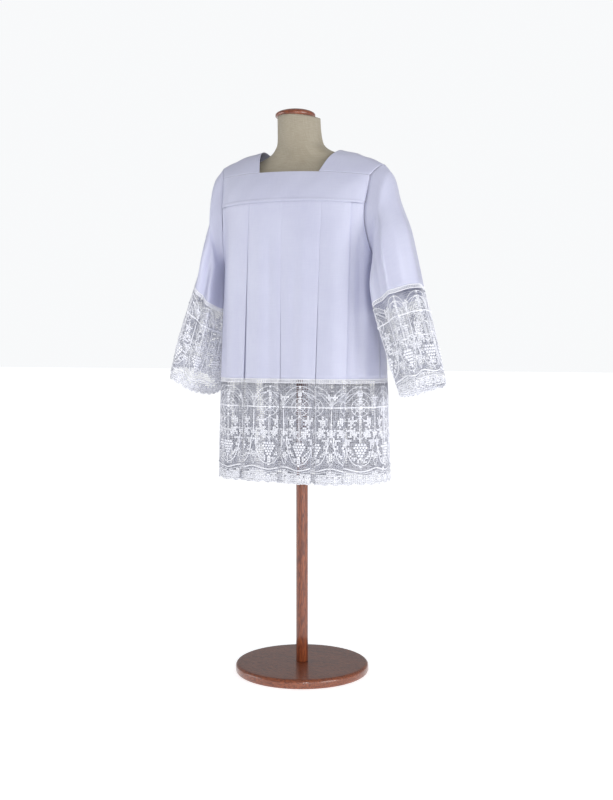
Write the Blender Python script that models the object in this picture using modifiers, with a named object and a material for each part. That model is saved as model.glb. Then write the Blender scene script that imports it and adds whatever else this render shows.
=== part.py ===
"""A pleated surplice with lace hem and cuffs, worn by a limbless dress form on a wooden base.

Metres, +Z up. X points to the wearer's left, -Y to the front. The origin is the centre of the
base's underside. Every piece of cloth is a thin wall with its real cut: yokes, shoulder pieces,
box-pleated body panels, sleeves, openwork insertions and lace. Pieces meet at seams with a small gap.
"""

import math

import bpy
import numpy as np

# Driving dimensions
WALL = 0.0015
SEAM_GAP = 0.0005  # between the walls' middle lines; a leaning wall's rim reaches a little into it
FIT_GAP = 0.0003  # between the dress form's own pieces
INSERTION_WIDTH = 0.011

BASE_RADIUS = 0.180
BASE_HEIGHT = 0.025
BASE_EDGE_RADIUS = 0.008
POLE_RADIUS = 0.016
CAP_RADIUS = 0.0525
CAP_EDGE = 0.002  # how far its lower edge is rounded in
CAP_BOTTOM = 1.4803
CAP_TOP = 1.501
TURNED_STEPS = 56
CAP_AHEAD = 0.037  # how far in front of the pole the leaning neck ends

YOKE_SEAM = 1.2545
ARMPIT = 1.100
CLOTH_END = 0.784
HEM = 0.523
BODY_SQUARENESS = 2.9
BODY_ROWS = (YOKE_SEAM, 1.200, 1.140, ARMPIT, 0.950)  # where a panel's facets break, down to its hem

FRONT_NECKLINE = 1.3345
BACK_NECKLINE = 1.349
FRONT_YOKE_DEPTH = 0.078
BACK_YOKE_DEPTH = 0.081
YOKE_REACH = 0.250
YOKE_SQUARENESS = 2.2
YOKE_TOP_DROP = 0.008  # how much lower a yoke's top edge is at its ends
YOKE_TOP_DROP_AT = 0.225  # how far out from the middle it has dropped by that much
YOKE_TOP_END = 1.326  # the height at which that edge meets the armhole
YOKE_CROWN = 0.003

ARMHOLE_HALF_HEIGHT = 0.129
ARMHOLE_HALF_DEPTH = 0.062
ARMHOLE_CENTRE = ARMPIT + ARMHOLE_HALF_HEIGHT
SHOULDER_PIECE_END = 1.330  # where its corners meet the armhole

# The garment hangs lower on the wearer's left shoulder, and its yoke seams sag at their ends.
LEAN = 0.045
LEAN_LOW = 1.150
LEAN_HIGH = 1.360
SEAM_SAG = 0.007
SEAM_SAG_AT = 0.200  # how far out from the middle the seam sags by that much
SEAM_SAG_SPREAD = 0.060  # and how far above and below the seam the sag fades

PLEAT_PITCH = 0.003  # from one folded layer's middle to the next
PLEAT_STEPS = 6
PANEL_EASE = 0.35  # how much of the strip beside the armhole eases from the outer layer to the inner
EASE_DEPTH = 0.6  # how much of the way to the inner layer it has come there
TURN_EASE = 0.002  # from the inner layer's last point to the fold line beside it
PANEL_CROWN = 0.0025

SLEEVE_HEAD = 0.022  # how far down the sleeve its head keeps to the armhole's curve
LEFT_CUFF_START = 0.340  # along the sleeve's top line, from the shoulder seam
RIGHT_CUFF_START = 0.290
SLEEVE_COLUMNS = 24
SLEEVE_ROWS = 8
FOLD_ONSET = 0.12  # how far down the sleeve its folds reach their full height

# The worn body, at each height: half width, and how far its front and back stand from the middle.
BODY_SECTIONS = np.array([
    # height, half_width, front, back
    (1.270, 0.228, 0.110, 0.115),
    (1.180, 0.224, 0.114, 0.119),
    (1.100, 0.222, 0.116, 0.125),
    (1.000, 0.224, 0.118, 0.130),
    (0.784, 0.231, 0.122, 0.148),
    (0.523, 0.238, 0.126, 0.164),
])

# Where the body meets the sleeve, measured from the middle.
ARMHOLE_SEAM = np.array([
    # height, half_width
    (1.358, 0.2400),
    (1.345, 0.2275),
    (1.328, 0.2173),
    (1.307, 0.2160),
    (1.255, 0.2148),
    (1.230, 0.2136),
    (1.200, 0.2136),
    (1.180, 0.2147),
    (1.160, 0.2167),
    (1.140, 0.2190),
    (1.120, 0.2212),
    (1.100, 0.2222),
])

# The folds' lines, measured around the panel from its middle; positive is the wearer's left.
FRONT_FOLDS = np.array([
    # at_yoke, at_cloth_end, underlap
    (-0.191, -0.194, 0.026),
    (-0.100, -0.112, 0.034),
    (0.000, 0.000, 0.044),
    (0.112, 0.101, 0.034),
    (0.189, 0.184, 0.030),
])
BACK_FOLDS = np.array([
    # at_yoke, at_cloth_end, underlap
    (-0.190, -0.190, 0.028),
    (-0.098, -0.103, 0.038),
    (0.000, 0.003, 0.048),
    (0.101, 0.108, 0.040),
    (0.191, 0.196, 0.028),
])

# Half the open gap between two pleats, at each height.
PLEAT_GAPS = np.array([
    # height, half_gap
    (1.270, 0.0010),
    (1.100, 0.0015),
    (0.784, 0.0038),
    (0.523, 0.0065),
])

# The shoulder piece's inner edge, from the front yoke over the shoulder to the back yoke.
NECK_EDGE = np.array([
    # out, back, height
    (0.0880, -0.0730, 1.3340),
    (0.1030, -0.0450, 1.3740),
    (0.1140, -0.0120, 1.3950),
    (0.1150, 0.0150, 1.3970),
    (0.1080, 0.0450, 1.3820),
    (0.0930, 0.0770, 1.3485),
])

# Each sleeve's rings: each hangs between a point on its top line and one on its under line. The
# left sleeve hangs further out and forwards, as if its arm were held a little away from the body.
LEFT_SLEEVE_RINGS = np.array([
    # top_out, top_height, under_out, under_height, half_depth, ahead
    (0.2410, 1.3580, 0.2275, 1.1000, 0.0622, 0.0000),
    (0.2560, 1.3420, 0.2282, 1.0850, 0.0700, 0.0010),
    (0.2725, 1.2940, 0.2292, 1.0660, 0.0800, 0.0030),
    (0.2920, 1.2450, 0.2303, 1.0480, 0.0900, 0.0080),
    (0.3080, 1.1940, 0.2316, 1.0300, 0.1000, 0.0150),
    (0.3210, 1.1420, 0.2330, 1.0100, 0.1070, 0.0190),
    (0.3330, 1.0880, 0.2350, 0.9900, 0.1100, 0.0180),
    (0.3440, 1.0340, 0.2385, 0.9710, 0.1120, 0.0160),
    (0.3471, 1.0216, 0.2415, 0.9593, 0.1120, 0.0158),
    (0.3720, 0.9200, 0.2694, 0.8676, 0.1080, 0.0120),
    (0.4030, 0.7860, 0.3060, 0.7470, 0.0960, 0.0060),
])
RIGHT_SLEEVE_RINGS = np.array([
    # top_out, top_height, under_out, under_height, half_depth, ahead
    (0.2410, 1.3580, 0.2275, 1.1000, 0.0622, 0.0000),
    (0.2520, 1.3430, 0.2282, 1.0850, 0.0670, 0.0000),
    (0.2590, 1.2645, 0.2295, 1.0580, 0.0760, 0.0000),
    (0.2715, 1.2110, 0.2325, 1.0200, 0.0865, 0.0000),
    (0.3005, 1.0850, 0.2360, 0.9850, 0.0920, 0.0000),
    (0.3039, 1.0759, 0.2366, 0.9820, 0.0925, 0.0000),
    (0.3084, 1.0637, 0.2390, 0.9700, 0.0930, 0.0000),
    (0.3220, 1.0270, 0.2450, 0.9365, 0.0945, 0.0000),
    (0.3580, 0.9310, 0.2685, 0.8473, 0.0975, 0.0000),
    (0.3940, 0.8180, 0.2930, 0.7440, 0.1000, 0.0000),
])

# Soft ridges that run down the sleeve from its head: 0 degrees is the top line, 90 the front.
SLEEVE_FOLDS = np.array([
    # degrees, spread_degrees, height
    (28.0, 16.0, 0.006),
    (72.0, 20.0, 0.007),
    (128.0, 18.0, 0.006),
    (232.0, 20.0, 0.006),
    (292.0, 19.0, 0.007),
])

# The form under the cloth, torso and neck in one.
FORM_SECTIONS = np.array([
    # height, half_width, front, back, squareness
    (0.798, 0.1960, 0.1000, 0.1220, 2.6),
    (0.803, 0.2030, 0.1070, 0.1290, 2.6),
    (0.815, 0.2070, 0.1090, 0.1310, 2.7),
    (0.900, 0.2080, 0.1080, 0.1250, 2.7),
    (1.000, 0.2070, 0.1060, 0.1170, 2.7),
    (1.100, 0.2070, 0.1040, 0.1120, 2.7),
    (1.200, 0.2090, 0.1010, 0.1070, 2.7),
    (1.270, 0.2110, 0.0960, 0.1020, 2.7),
    (1.305, 0.2110, 0.0850, 0.0950, 2.6),
    (1.328, 0.2090, 0.0730, 0.0840, 2.4),
    (1.343, 0.2040, 0.0620, 0.0740, 2.1),
    (1.354, 0.1940, 0.0560, 0.0650, 1.8),
    (1.363, 0.1770, 0.0530, 0.0580, 1.6),
    (1.372, 0.1500, 0.0550, 0.0530, 1.4),
    (1.382, 0.1180, 0.0590, 0.0480, 1.4),
    (1.391, 0.0920, 0.0640, 0.0440, 1.6),
    (1.402, 0.0730, 0.0690, 0.0390, 1.9),
    (1.416, 0.0620, 0.0750, 0.0330, 2.0),
    (1.445, 0.0565, 0.0860, 0.0240, 2.0),
    (1.480, 0.0545, 0.0915, 0.0175, 2.0),
])
FORM_COLUMNS = 40

LINEN = (0.74, 0.66, 0.50, 1.0)
WOOD = (0.30, 0.09, 0.04, 1.0)
CLOTH = (0.80, 0.80, 0.88, 1.0)
LACE = (0.84, 0.84, 0.86, 1.0)


def clear_scene():
    for obj in list(bpy.data.objects):
        bpy.data.objects.remove(obj, do_unlink=True)


def material(name, colour, roughness):
    """A plain surface of one colour."""
    made = bpy.data.materials.new(name)
    made.use_nodes = True
    surface = made.node_tree.nodes["Principled BSDF"]
    surface.inputs["Base Color"].default_value = colour
    surface.inputs["Roughness"].default_value = roughness
    surface.inputs["Metallic"].default_value = 0.0
    return made


def column(table, index, at):
    """One column of a table whose first column is a height, read between its rows."""
    rows = table[np.argsort(table[:, 0])]
    return np.interp(at, rows[:, 0], rows[:, index])


def leaned(points):
    """The garment as it hangs: moved down in proportion to how far left it is, more so higher up."""
    x, z = points[..., 0], points[..., 2]
    rise = np.clip((z - LEAN_LOW) / (LEAN_HIGH - LEAN_LOW), 0.0, 1.0)
    sag = SEAM_SAG * (x / SEAM_SAG_AT) ** 2 * np.exp(-(((z - YOKE_SEAM) / SEAM_SAG_SPREAD) ** 2))
    moved = points.copy()
    moved[..., 2] -= LEAN * x * rise * rise * (3 - 2 * rise) + sag
    return moved


def section_curve(half_width, depth, squareness, count=241):
    """The front half of a rounded-square outline, from its right end to its left, as x and y."""
    turn = np.linspace(-math.pi / 2, math.pi / 2, count)
    power = 2 / squareness
    x = half_width * np.sign(np.sin(turn)) * np.abs(np.sin(turn)) ** power
    y = -depth * np.abs(np.cos(turn)) ** power
    return x, y


def body_point(height, along, inset, depth_column):
    """Points on the worn body at one height, a distance along it from its middle, moved inwards."""
    x, y = section_curve(
        column(BODY_SECTIONS, 1, height), column(BODY_SECTIONS, depth_column, height), BODY_SQUARENESS
    )
    lengths = np.concatenate([[0.0], np.cumsum(np.hypot(np.diff(x), np.diff(y)))])
    lengths -= lengths[-1] / 2
    tangent_x = np.interp(along, lengths, np.gradient(x, lengths))
    tangent_y = np.interp(along, lengths, np.gradient(y, lengths))
    size = np.hypot(tangent_x, tangent_y)
    return np.stack([
        np.interp(along, lengths, x) - inset * tangent_y / size,
        np.interp(along, lengths, y) + inset * tangent_x / size,
        np.full_like(along, height),
    ], axis=-1)


def side_edge(height, depth_column):
    """How far around the body its panel reaches: to the armhole's seam, and below it to the side seam."""
    x, y = section_curve(
        column(BODY_SECTIONS, 1, height), column(BODY_SECTIONS, depth_column, height), BODY_SQUARENESS
    )
    lengths = np.concatenate([[0.0], np.cumsum(np.hypot(np.diff(x), np.diff(y)))])
    lengths -= lengths[-1] / 2
    rise = min(max((height - ARMHOLE_CENTRE) / ARMHOLE_HALF_HEIGHT, -1.0), 1.0)
    opening = ARMHOLE_HALF_DEPTH * math.sqrt(1 - rise * rise)
    left = x > 0.0
    return float(np.interp(-opening - SEAM_GAP, y[left], lengths[left]))


def pleat_columns(height, folds, edge):
    """The folded cloth's path around one panel at one height: distances along, and insets.

    Each inner fold line is a gap between two box pleats. The cloth turns under on one side of it,
    runs back, turns again, passes behind the gap and comes out the same way on the other side.
    """
    drop = (YOKE_SEAM - height) / (YOKE_SEAM - CLOTH_END)
    lines = folds[:, 0] + (folds[:, 1] - folds[:, 0]) * drop
    gap = column(PLEAT_GAPS, 1, height)
    lower = 2 * PLEAT_PITCH
    fars = gap + folds[:, 2]

    ease_end = PANEL_EASE * (edge + lines[0])
    path = [(-edge, 0.0), (-edge + ease_end, EASE_DEPTH * lower), (lines[0] - TURN_EASE, lower)]
    first = lines[0] + fars[0]
    path += [(first, lower), (first, PLEAT_PITCH), (lines[0] + gap, PLEAT_PITCH)]
    for left, right, far in zip(lines[:-1], lines[1:], fars[1:]):
        for step in np.linspace(0.0, 1.0, PLEAT_STEPS):
            across = left + gap + (right - left - 2 * gap) * step
            path.append((across, -PANEL_CROWN * math.sin(math.pi * step) * min(1.0, 3 * drop)))
        path += [(right - gap, PLEAT_PITCH), (right - far, PLEAT_PITCH), (right - far, lower)]
        if right != lines[-1]:
            path += [(right, lower)]
            path += [(right + far, lower), (right + far, PLEAT_PITCH), (right + gap, PLEAT_PITCH)]
    ease_end = PANEL_EASE * (edge - lines[-1])
    path += [(lines[-1] + TURN_EASE, lower), (edge - ease_end, EASE_DEPTH * lower), (edge, 0.0)]
    return np.array(path).T


def panel_grid(heights, folds, depth_column):
    """A pleated panel's points, one row of them for each height."""
    grid = []
    for height in heights:
        along, inset = pleat_columns(height, folds, side_edge(height, depth_column))
        grid.append(body_point(height, along, inset, depth_column))
    return np.array(grid)


def turned(grid):
    """The same points half a turn round the upright axis, which takes a front piece to the back."""
    return grid * (-1, -1, 1)


def mirrored(grid):
    return grid * (-1, 1, 1)


def yoke_seam_line(x, neckline, depth):
    """The seam between a yoke and the shoulder pieces, which is also the neckline between them."""
    reach = np.abs(x) / YOKE_REACH
    y = -depth * (1 - reach**YOKE_SQUARENESS) ** (1 / YOKE_SQUARENESS)
    return np.stack([x, y, neckline - YOKE_TOP_DROP * (x / YOKE_TOP_DROP_AT) ** 2], axis=-1)


def yoke_grid(neckline, depth, depth_column):
    """A yoke: a band from armhole to armhole, between the neckline and the pleated panel."""
    seam = YOKE_SEAM + SEAM_GAP + WALL / 4
    across = np.linspace(-1.0, 1.0, 25)
    lower = body_point(seam, across * side_edge(seam, depth_column), 0.0 * across, depth_column)
    upper = yoke_seam_line(across * column(ARMHOLE_SEAM, 1, YOKE_TOP_END), neckline, depth)
    rows = []
    for step in np.linspace(0.0, 1.0, 4):
        crown = YOKE_CROWN * math.sin(math.pi * step)
        rows.append(upper * (1 - step) + lower * step + np.array([0.0, -crown, crown * 0.5]))
    return np.array(rows)


def shoulder_grid():
    """The left shoulder piece, from its neck edge to the armhole, over the shoulder."""
    first = math.asin((SHOULDER_PIECE_END - ARMHOLE_CENTRE) / ARMHOLE_HALF_HEIGHT)
    turn = np.linspace(first, math.pi - first, 13)
    height = ARMHOLE_CENTRE + ARMHOLE_HALF_HEIGHT * np.sin(turn)
    outer = np.stack([
        column(ARMHOLE_SEAM, 1, height), -ARMHOLE_HALF_DEPTH * np.cos(turn), height
    ], axis=-1)
    share = np.linspace(0.0, 1.0, 13)
    inner = np.stack([smooth_through(NECK_EDGE[:, axis], share) for axis in range(3)], axis=-1)
    front = yoke_seam_line(np.linspace(inner[0, 0], outer[0, 0], 7), FRONT_NECKLINE, FRONT_YOKE_DEPTH)
    back = yoke_seam_line(np.linspace(inner[-1, 0], outer[-1, 0], 7), BACK_NECKLINE, BACK_YOKE_DEPTH)
    back[:, 1] *= -1
    grid = []
    for index, step in enumerate(np.linspace(0.0, 1.0, 7)):
        straight = inner * (1 - step) + outer * step
        fade = np.clip(1 - share * 4, 0, 1)[:, None]
        pull = (front[index] - straight[0]) * fade + (back[index] - straight[-1]) * fade[::-1]
        grid.append(straight + pull)
    grid = np.array(grid)
    grid[:, [0, -1], 2] += SEAM_GAP + WALL / 4
    return grid


def smooth_through(values, share):
    """A smooth curve through evenly spaced values, by a cubic through each four neighbours."""
    padded = np.concatenate([[2 * values[0] - values[1]], values, [2 * values[-1] - values[-2]]])
    place = share * (len(values) - 1)
    start = np.minimum(place.astype(int), len(values) - 2)
    t = place - start
    a, b, c, d = (padded[start + k] for k in range(4))
    return 0.5 * (2 * b + (c - a) * t + (2 * a - 5 * b + 4 * c - d) * t**2 + (3 * b - a - 3 * c + d) * t**3)


def top_lengths(rings):
    """Each ring's distance down the sleeve's top line."""
    return np.concatenate([[0.0], np.cumsum(np.hypot(*np.diff(rings[:, :2], axis=0).T))])


def sleeve_grid(rings, start, end, rows):
    """A sleeve's points between two distances down its top line, as closed rings, on the left side."""
    lengths = top_lengths(rings)
    turn = np.linspace(0.0, 2 * math.pi, SLEEVE_COLUMNS, endpoint=False)
    grid = []
    for at in np.linspace(start, end, rows + 1):
        top_x, top_z, under_x, under_z, half_depth, ahead = (
            np.interp(at, lengths, rings[:, index]) for index in range(6)
        )
        swell = sum(
            height * np.exp(-(((np.degrees(turn) - place + 180) % 360 - 180) / spread) ** 2)
            for place, spread, height in SLEEVE_FOLDS
        )
        grow = 1 + swell * min(at / FOLD_ONSET, 1.0) / half_depth
        x = (top_x + under_x) / 2 + (top_x - under_x) / 2 * np.cos(turn) * grow
        z = (top_z + under_z) / 2 + (top_z - under_z) / 2 * np.cos(turn)
        y = -half_depth * np.sin(turn) * grow - ahead
        seam_share = max(0.0, 1 - at / SLEEVE_HEAD)
        x += (column(ARMHOLE_SEAM, 1, z) + SEAM_GAP + WALL - x) * seam_share
        grid.append(np.stack([x, y, z], axis=-1))
    return np.array(grid)


def grid_mesh(name, grid, ring=False, capped=False):
    """A mesh of quads over a grid of points. A ring's last column joins its first."""
    rows, columns, _ = grid.shape
    last = columns if ring else columns - 1
    faces = []
    for row in range(rows - 1):
        for at in range(last):
            nearby = (at + 1) % columns
            faces.append((
                row * columns + at, (row + 1) * columns + at,
                (row + 1) * columns + nearby, row * columns + nearby,
            ))
    if capped:
        faces.append(tuple(range(columns)))
        faces.append(tuple(reversed(range((rows - 1) * columns, rows * columns))))
    mesh = bpy.data.meshes.new(name)
    mesh.from_pydata(grid.reshape(-1, 3).tolist(), [], faces)
    mesh.update()
    return mesh


def add_object(collection, name, mesh, finish):
    obj = bpy.data.objects.new(name, mesh)
    mesh.materials.append(finish)
    mesh.shade_smooth()
    mesh.set_sharp_from_angle(angle=math.radians(40))
    collection.objects.link(obj)
    return obj


def add_cloth(collection, name, grid, finish, ring=False):
    """A wall of cloth whose middle runs through the grid's points, once they hang as worn."""
    obj = add_object(collection, name, grid_mesh(name, leaned(grid), ring), finish)
    wall = obj.modifiers.new("wall", "SOLIDIFY")
    wall.thickness = WALL
    wall.offset = 0.0
    wall.use_even_offset = True
    wall.use_quality_normals = True
    return obj


def add_turned(collection, name, profile, finish):
    """A turned solid from its profile, given from the axis at the top round to the axis below."""
    mesh = bpy.data.meshes.new(name)
    edges = [(i, i + 1) for i in range(len(profile) - 1)]
    mesh.from_pydata([(radius, 0.0, height) for radius, height in profile], edges, [])
    obj = add_object(collection, name, mesh, finish)
    screw = obj.modifiers.new("turn", "SCREW")
    screw.steps = TURNED_STEPS
    screw.render_steps = TURNED_STEPS
    screw.use_merge_vertices = True
    screw.merge_threshold = 0.00005
    screw.use_smooth_shade = True
    return obj


def rounded_corner(radius, height, edge, steps=6):
    """The profile of a disc's upper edge, rounded, from its flat top to its upright side."""
    turns = np.linspace(math.pi / 2, 0.0, steps + 1)
    return [(radius - edge + edge * math.cos(t), height - edge + edge * math.sin(t)) for t in turns]


def build_form(collection, linen, wood):
    """The dress form: base, pole, linen torso with its neck, and a wooden cap."""
    profile = [(0.0, BASE_HEIGHT), *rounded_corner(BASE_RADIUS, BASE_HEIGHT, BASE_EDGE_RADIUS)]
    profile += [(BASE_RADIUS, 0.003), (BASE_RADIUS - 0.003, 0.0), (0.0, 0.0)]
    add_turned(collection, "form_base", profile, wood)

    pole_bottom = BASE_HEIGHT + FIT_GAP
    pole_top = FORM_SECTIONS[0, 0] - FIT_GAP
    bpy.ops.mesh.primitive_cylinder_add(
        vertices=40, radius=POLE_RADIUS, depth=pole_top - pole_bottom,
        location=(0.0, 0.0, (pole_top + pole_bottom) / 2),
    )
    pole = bpy.context.object
    pole.name = "form_pole"
    pole.data.materials.append(wood)
    pole.data.shade_smooth()
    pole.data.set_sharp_from_angle(angle=math.radians(40))
    for holder in list(pole.users_collection):
        holder.objects.unlink(pole)
    collection.objects.link(pole)

    turn = np.linspace(0.0, 2 * math.pi, FORM_COLUMNS, endpoint=False)
    rings = []
    for height, half_width, front, back, squareness in FORM_SECTIONS[::-1]:
        power = 2 / squareness
        across = np.sign(np.sin(turn)) * np.abs(np.sin(turn)) ** power
        ahead = np.sign(np.cos(turn)) * np.abs(np.cos(turn)) ** power
        depth = np.where(ahead > 0, front, back)
        rings.append(np.stack([
            half_width * across, -depth * ahead, np.full_like(turn, height)
        ], axis=-1))
    add_object(collection, "form_torso", grid_mesh("form_torso", np.array(rings), True, True), linen)

    dome = CAP_TOP - CAP_BOTTOM
    profile = [(0.0, CAP_TOP)]
    for t in np.linspace(math.radians(80), math.radians(10), 8):
        profile.append((CAP_RADIUS * math.cos(t), CAP_BOTTOM + 0.006 + (dome - 0.006) * math.sin(t)))
    profile += [(CAP_RADIUS, CAP_BOTTOM + 2 * CAP_EDGE), (CAP_RADIUS - CAP_EDGE, CAP_BOTTOM), (0.0, CAP_BOTTOM)]
    cap = add_turned(collection, "form_cap", profile, wood)
    cap.location = (0.0, -CAP_AHEAD, 0.0)


def build_body(collection, cloth, lace):
    """Yokes, shoulder pieces and pleated panels, with the insertion and the lace below them."""
    sides = (
        ("front", FRONT_FOLDS, FRONT_NECKLINE, FRONT_YOKE_DEPTH, 2, False),
        ("back", BACK_FOLDS, BACK_NECKLINE, BACK_YOKE_DEPTH, 3, True),
    )
    for side, folds, neckline, depth, depth_column, behind in sides:
        insertion_top = CLOTH_END + INSERTION_WIDTH
        strips = (
            (f"body_{side}", (*BODY_ROWS, insertion_top + SEAM_GAP), cloth),
            (f"hem_insertion_{side}", (insertion_top, CLOTH_END + SEAM_GAP), lace),
            (f"hem_lace_{side}", np.linspace(CLOTH_END, HEM, 4), lace),
        )
        for name, heights, finish in strips:
            grid = panel_grid(heights, folds, depth_column)
            add_cloth(collection, name, turned(grid) if behind else grid, finish)
        grid = yoke_grid(neckline, depth, depth_column)
        add_cloth(collection, f"yoke_{side}", turned(grid) if behind else grid, cloth)
    left = shoulder_grid()
    add_cloth(collection, "shoulder_left", left, cloth)
    add_cloth(collection, "shoulder_right", mirrored(left), cloth)


def build_sleeves(collection, cloth, lace):
    """Each sleeve is a wide tube of cloth, an insertion and a lace cuff."""
    sides = (
        ("left", LEFT_SLEEVE_RINGS, LEFT_CUFF_START, False),
        ("right", RIGHT_SLEEVE_RINGS, RIGHT_CUFF_START, True),
    )
    for side, rings, cuff_start, other in sides:
        lace_top = cuff_start + INSERTION_WIDTH
        strips = (
            (f"sleeve_{side}", 0.0, cuff_start, SLEEVE_ROWS, cloth),
            (f"cuff_insertion_{side}", cuff_start + 2 * SEAM_GAP, lace_top, 1, lace),
            (f"cuff_lace_{side}", lace_top + SEAM_GAP, top_lengths(rings)[-1], 4, lace),
        )
        for name, start, stop, rows, finish in strips:
            grid = sleeve_grid(rings, start, stop, rows)
            add_cloth(collection, name, mirrored(grid) if other else grid, finish, ring=True)


def main():
    clear_scene()
    collection = bpy.data.collections.new("surplice_on_dress_form")
    bpy.context.scene.collection.children.link(collection)
    linen = material("linen", LINEN, 0.9)
    wood = material("stained_wood", WOOD, 0.35)
    cloth = material("surplice_cloth", CLOTH, 0.75)
    lace = material("lace", LACE, 0.85)
    build_form(collection, linen, wood)
    build_body(collection, cloth, lace)
    build_sleeves(collection, cloth, lace)


main()
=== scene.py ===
"""The looks of a pleated surplice with lace hem and cuffs, worn by a limbless dress form.

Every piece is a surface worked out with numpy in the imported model's own frame: metres, +Z up,
X towards the wearer's left and -Y towards the front. The cloth's pieces share a few rules: the worn
body's rounded-square sections, the folded path of the box pleats and the sleeve's hanging rings.
Lace is a real net of threads with filled cells, cords and raised grapes laid on those surfaces.
"""

from __future__ import annotations

import logging
import math
from dataclasses import dataclass, field
from enum import Enum
from typing import Any

import bmesh
import bpy
import numpy as np
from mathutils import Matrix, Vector

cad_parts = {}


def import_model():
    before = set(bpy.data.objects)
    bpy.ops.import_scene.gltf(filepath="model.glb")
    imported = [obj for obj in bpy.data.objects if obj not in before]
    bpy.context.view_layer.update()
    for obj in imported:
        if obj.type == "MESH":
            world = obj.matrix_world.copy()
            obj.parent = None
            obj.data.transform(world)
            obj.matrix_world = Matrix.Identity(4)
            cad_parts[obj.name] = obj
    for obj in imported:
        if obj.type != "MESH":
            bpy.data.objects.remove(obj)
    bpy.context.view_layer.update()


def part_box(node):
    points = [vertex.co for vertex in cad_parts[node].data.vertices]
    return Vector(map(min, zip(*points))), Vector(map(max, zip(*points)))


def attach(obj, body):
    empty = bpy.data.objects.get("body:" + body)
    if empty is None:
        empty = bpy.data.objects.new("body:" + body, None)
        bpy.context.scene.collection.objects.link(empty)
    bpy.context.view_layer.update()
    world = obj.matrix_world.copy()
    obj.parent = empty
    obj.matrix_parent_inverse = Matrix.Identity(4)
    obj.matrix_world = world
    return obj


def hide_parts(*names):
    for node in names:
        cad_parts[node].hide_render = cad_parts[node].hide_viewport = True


LOG = logging.getLogger("surplice")
TINY = 1e-12  # keeps a division by a length away from zero
OUTWARD = 0.001  # how far off a surface its outward direction is measured


class Face(Enum):
    """Which half of the body a panel covers: the turn that takes a front piece there."""

    FRONT = 1
    BACK = -1

    @property
    def word(self) -> str:
        """The half's name, as its nodes spell it."""
        return self.name.lower()


class Side(Enum):
    """Which side of the wearer a piece is on: the sign of X there."""

    LEFT = 1
    RIGHT = -1

    @property
    def word(self) -> str:
        """The side's name, as its nodes spell it."""
        return self.name.lower()


class Held(Enum):
    """How a sheet of cloth is held."""

    DRAPED = "draped"
    HUNG = "hung"


# ---- Shared curves ----


def smooth_read(at: np.ndarray, places: np.ndarray, values: np.ndarray) -> np.ndarray:
    """A smooth curve through a table's rows: a cubic between each two, with the rows' mean slopes.

    Args:
        at: Where to read the curve.
        places: The rows' own places, rising.
        values: The rows' values.

    Returns:
        The curve's values, held level past the table's ends.
    """
    slopes = np.gradient(values, places)
    at = np.clip(at, places[0], places[-1])
    row = np.clip(np.searchsorted(places, at, side="right") - 1, 0, len(places) - 2)
    span = places[row + 1] - places[row]
    t = (at - places[row]) / span
    start = (2 * t**3 - 3 * t**2 + 1) * values[row] + (t**3 - 2 * t**2 + t) * span * slopes[row]
    end = (3 * t**2 - 2 * t**3) * values[row + 1] + (t**3 - t**2) * span * slopes[row + 1]
    return start + end


def read_table(table: np.ndarray, at: float, column: int = 1) -> np.ndarray:
    """A table's column, read smoothly at a place in its first column."""
    return smooth_read(np.array(at), table[:, 0], table[:, column])


def ease(x: np.ndarray | float) -> np.ndarray:
    """A smooth step from 0 to 1, level at both ends: 3 x squared less 2 x cubed."""
    x = np.clip(x, 0.0, 1.0)
    return x * x * (3 - 2 * x)


def chain_lengths(points: np.ndarray) -> np.ndarray:
    """The distance travelled along a chain of points, starting from 0."""
    steps = np.linalg.norm(np.diff(points, axis=0), axis=1)
    return np.concatenate([[0.0], np.cumsum(steps)])


def full_turn(count: int) -> np.ndarray:
    """Angles spaced evenly once round, the last one short of the first."""
    return np.linspace(0.0, 2 * math.pi, count, endpoint=False)


def signed_power(values: np.ndarray, power: np.ndarray | float) -> np.ndarray:
    """Values raised to a power with their signs kept, as a superellipse needs them."""
    return np.sign(values) * np.abs(values) ** power


def unit(vectors: np.ndarray) -> np.ndarray:
    """Vectors brought to a length of one."""
    return vectors / (np.linalg.norm(vectors, axis=-1, keepdims=True) + TINY)


# ---- Meshes ----


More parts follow.
